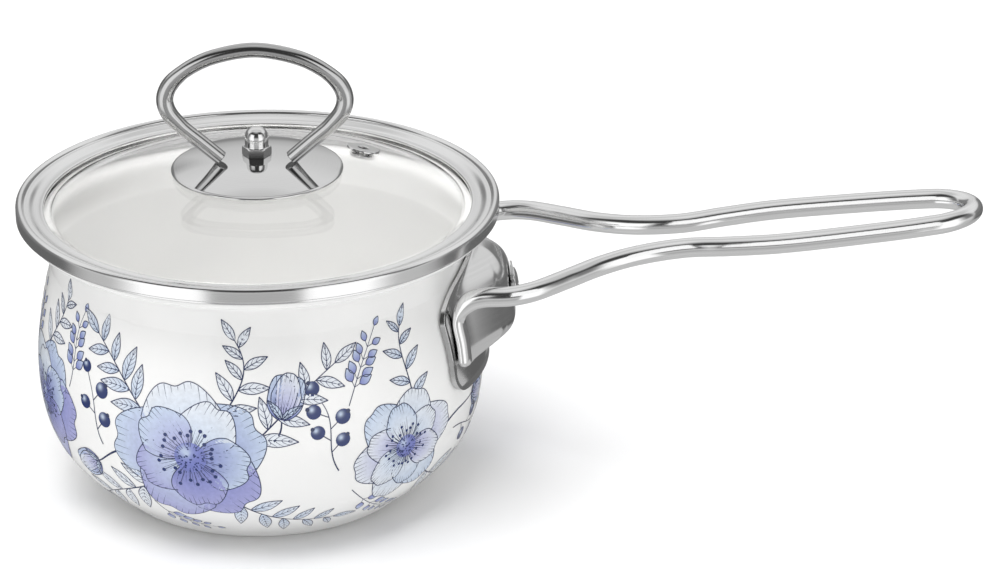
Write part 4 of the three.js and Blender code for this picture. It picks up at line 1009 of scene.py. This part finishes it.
plate_radii = np.linspace(PLATE_RADIUS - PLATE_EDGE_ROUND, BOLT_HOLE, 40)
plate_upper = np.stack([plate_radii, plate_under(plate_radii) + PLATE_WALL], -1)
plate_lower = np.stack([plate_radii, plate_under(plate_radii)], -1)
edge_turn = np.radians(np.linspace(-75, 75, 9))
plate_rim = np.stack([PLATE_RADIUS - PLATE_EDGE_ROUND + PLATE_EDGE_ROUND * np.cos(edge_turn),
                      plate_edge + PLATE_WALL / 2 + PLATE_WALL / 2 * np.sin(edge_turn)], -1)
plate_outline = np.vstack([plate_rim, plate_upper, plate_lower[::-1], plate_rim[:1]])
plate = turned("plate", plate_outline, steps=192)
mirror_turned = steel("mirror steel", tones=(0.70, 0.76), roughness=(0.03, 0.06),
                      cells=(0.0, 3000.0), bump=0.01)
plate.data.materials.append(mirror_turned)
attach(plate, "lid")
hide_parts("lid_handle_plate")


# Gaskets: two discs moulded in pale silicone that seal the bolt hole and keep steel off the glass.
# One lies between glass and plate and follows both, the other is clamped flat under the glass.
def flat_ring(hole, radius, low, top):
    """Section in mm of a flat ring, anticlockwise from the lower corner at its hole."""
    return np.array([(hole, low), (radius, low), (radius, top), (hole, top)]) / mm


GASKET_RADIUS, GASKET_WALL, GASKET_EDGE = 10 * mm, 1 * mm, 0.15
silicone, tree, shader = new_material("pale silicone")
feed(tree, shader, {"Base Color": mottled(tree, cloud(tree, 400.0, detail=3.0), 0.66, 0.72),
                    "Roughness": 0.6, "Subsurface Weight": 0.15, "Subsurface Radius": (1 * mm,) * 3})
upper_section = np.array([
    (BOLT_HOLE, glass_top(BOLT_HOLE) + SEAT_GAP), (GASKET_RADIUS, glass_top(GASKET_RADIUS) + SEAT_GAP),
    (GASKET_RADIUS, plate_under(GASKET_RADIUS) - SEAT_GAP), (BOLT_HOLE, plate_under(BOLT_HOLE) - SEAT_GAP),
]) / mm
lower_gasket_top = glass_top(GASKET_RADIUS) - GLASS_THICKNESS - SEAT_GAP
lower_gasket_low = lower_gasket_top - GASKET_WALL
lower_section = flat_ring(BOLT_HOLE, GASKET_RADIUS, lower_gasket_low, lower_gasket_top)
for name, node_name, section in (("gasket_upper", "upper_gasket", upper_section),
                                 ("gasket_lower", "lower_gasket", lower_section)):
    gasket = turned(name, even(rounded(section, GASKET_EDGE), spacing=0.6 * mm))
    gasket.data.materials.append(silicone)
    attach(gasket, "lid")
    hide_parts(node_name)


# Lower washer and bolt: a bright steel washer under the lower gasket, and a round-headed bolt that
# goes up through glass and plate into the cap nut.
LOWER_WASHER_RADIUS, LOWER_WASHER_WALL, LOWER_WASHER_EDGE = 8 * mm, 1 * mm, 0.2
lower_washer_top = lower_gasket_low - SEAT_GAP
lower_washer_low = lower_washer_top - LOWER_WASHER_WALL
lower_washer_section = flat_ring(BOLT_HOLE, LOWER_WASHER_RADIUS, lower_washer_low, lower_washer_top)
lower_washer_outline = even(rounded(lower_washer_section, LOWER_WASHER_EDGE), spacing=0.5 * mm)
lower_washer = turned("washer_lower", lower_washer_outline)
lower_washer.data.materials.append(polished_turned)
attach(lower_washer, "lid")
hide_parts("lower_washer")

BOLT_RADIUS, BOLT_HEAD_RADIUS, BOLT_HEAD_HEIGHT = 2.5 * mm, 4.6 * mm, 2.2 * mm
bolt_head_top = lower_washer_low - SEAT_GAP
bolt_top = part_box("lid_bolt")[1].z
bolt_turn = np.linspace(np.pi / 2, 0, 24)
bolt_head = np.stack([BOLT_HEAD_RADIUS * np.cos(bolt_turn),
                      bolt_head_top - BOLT_HEAD_HEIGHT * np.sin(bolt_turn)], -1)
bolt_head[0, 0] = 0
bolt_line = np.vstack([bolt_head, [(BOLT_RADIUS, bolt_head_top), (BOLT_RADIUS, bolt_top), (0, bolt_top)]])
bolt = turned("bolt", even(bolt_line, spacing=0.8 * mm), 64)
bolt.data.materials.append(polished_turned)
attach(bolt, "lid")
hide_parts("lid_bolt")


# Cap nut: a bright steel acorn nut, its hexagon chamfered at the top and its dome drawn tall.
# It closes over the bolt's end and draws plate, gaskets and washer together on the glass.
NUT_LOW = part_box("cap_nut")[0].z
NUT_HEIGHT, NUT_HEX, NUT_FLATS, NUT_DOME = 9.7 * mm, 2.8 * mm, 9 * mm, 4.15 * mm
NUT_CHAMFER_START, NUT_CHAMFER_SLOPE, NUT_DOME_FULLNESS = 1.03, 1.6, 2.6
NUT_FILLET_RISE, NUT_FILLET_OUT = np.array([0, 0.15, 0.3]) * mm, np.array([0.25, 0.08, 0]) * mm


def cap_nut_grid():
    """Half the flats over the cosine of the angle from the nearest flat's middle, held inside a chamfer
    cone near the hexagon's top, then a straight collar and a full dome, r^f + h^f = 1 for its fullness f.
    The base sits down on the plate and closes the bore."""
    turn = np.linspace(0, 2 * np.pi, 193)
    from_flat = np.abs(turn % (np.pi / 3) - np.pi / 6)
    hexagon = NUT_FLATS / 2 / np.cos(from_flat)
    rise = np.concatenate([[-SEAT_GAP], np.linspace(-SEAT_GAP, NUT_HEX, 26)])
    cone = NUT_FLATS / 2 * NUT_CHAMFER_START + (NUT_HEX - rise)[:, None] * NUT_CHAMFER_SLOPE
    hex_rows = np.minimum(hexagon, cone)
    hex_rows[0] = 0
    collar = NUT_HEIGHT - NUT_DOME
    fillet = NUT_HEX + NUT_FILLET_RISE
    collar_rise = np.concatenate([fillet, np.linspace(fillet[-1], collar, 10)[1:]])
    collar_radius = NUT_DOME + np.concatenate([NUT_FILLET_OUT, np.zeros(9)])
    over = np.linspace(0, np.pi / 2, 28)[1:]
    dome_radius = np.append(NUT_DOME * np.cos(over[:-1]) ** (2 / NUT_DOME_FULLNESS), 0)
    dome_rise = NUT_DOME * np.sin(over) ** (2 / NUT_DOME_FULLNESS)
    radius = np.concatenate([collar_radius, dome_radius])[:, None]
    round_rows = np.broadcast_to(radius, (len(radius), len(turn)))
    height = np.concatenate([rise, collar_rise, collar + dome_rise])[:, None]
    reach = np.vstack([hex_rows, round_rows])
    grid = np.stack(np.broadcast_arrays(reach * np.cos(turn), reach * np.sin(turn), NUT_LOW + height), -1)
    return grid, np.stack(np.broadcast_arrays(turn * NUT_DOME, height), -1)


cap_nut = skin("acorn_nut", *cap_nut_grid())
cap_nut.data.materials.append(polished_turned)
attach(cap_nut, "lid")
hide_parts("cap_nut")


# Lid handle: one stainless rod bent to a wide loop, satin finished, with square-cut ends.
# It stands on the plate just in front of the cap nut, welded at both feet, and is a little flattened
# where it bends round at the sides.
ROD_RADIUS, ROD_BEND_HALF, ROD_BEVEL, WELD_SINK = 2.6 * mm, 3.0 * mm, 0.25 * mm, 0.5 * mm
BEND_START, BEND_FULL = 7 * mm, 1 * mm
PLATE_TOP = PLATE_CROWN + PLATE_WALL
LOOP_OFFSET, LOOP_FOOT, LOOP_LEAN, LOOP_HEIGHT = 5 * mm, 12.2 * mm, np.radians(42.4), 40.5 * mm
LOOP_PLAN = np.array([
    (26, 12.6), (30.2, 17.8), (31.3, 22.6), (29.8, 27.2), (25.6, 31.8), (18, 36.5), (9.2, 39.3),
]) * mm
foot_edge = np.hypot(LOOP_FOOT + ROD_RADIUS * np.sin(LOOP_LEAN), LOOP_OFFSET - ROD_RADIUS)
foot_height = plate_under(foot_edge) + PLATE_WALL - WELD_SINK + ROD_RADIUS * np.cos(LOOP_LEAN)
loop_foot = np.array([[LOOP_FOOT, -LOOP_OFFSET, foot_height]])
loop_level = np.full(len(LOOP_PLAN), -LOOP_OFFSET)
loop_bends = np.stack([LOOP_PLAN[:, 0], loop_level, PLATE_TOP + LOOP_PLAN[:, 1]], -1)
loop_half = np.vstack([loop_foot, (loop_foot + loop_bends[:1]) / 2, loop_bends])
loop_top = np.array([[0, -LOOP_OFFSET, PLATE_TOP + LOOP_HEIGHT]])
loop_route = curve_through(np.vstack([loop_half, loop_top, loop_half[::-1] * [-1, 1, 1]]), 16)
loop_along = unit(loop_route[[1, -2]] - loop_route[[0, -1]])
BEVEL_STEPS = np.array([[-0.01], [0], [1]])
loop_starts, loop_ends = (end + BEVEL_STEPS * ROD_BEVEL * along
                          for end, along in zip(loop_route[[0, -1]], loop_along))
loop_route = np.vstack([loop_starts, loop_route[1:-1], loop_ends[::-1]])
end_size = np.ones(len(loop_route))
end_size[[1, -2]] = 1 - ROD_BEVEL / ROD_RADIUS
end_size[[0, -1]] = 0
bend_start = LOOP_PLAN[:, 0].max() - BEND_START
bent = smooth_step((np.abs(loop_route[:, 0]) - bend_start) / (BEND_START - BEND_FULL))
rod_wide = (ROD_RADIUS + (ROD_BEND_HALF - ROD_RADIUS) * bent) * end_size
rod_side = np.broadcast_to(np.array([0.0, 1.0, 0.0]), loop_route.shape)
lid_handle = skin("loop_handle", *wire_grid(loop_route, rod_side, ROD_RADIUS * end_size, rod_wide))
# The rod's satin steel has a darker tone than the long handle's: painted shade for the darker reflections
# the rod shows.
darkened_satin_rod = steel("satin steel, rod", tones=(0.50, 0.58), roughness=(0.11, 0.17),
                  cells=(20.0, 2500.0), bump=0.04)
lid_handle.data.materials.append(darkened_satin_rod)
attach(lid_handle, "lid")
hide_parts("lid_handle")
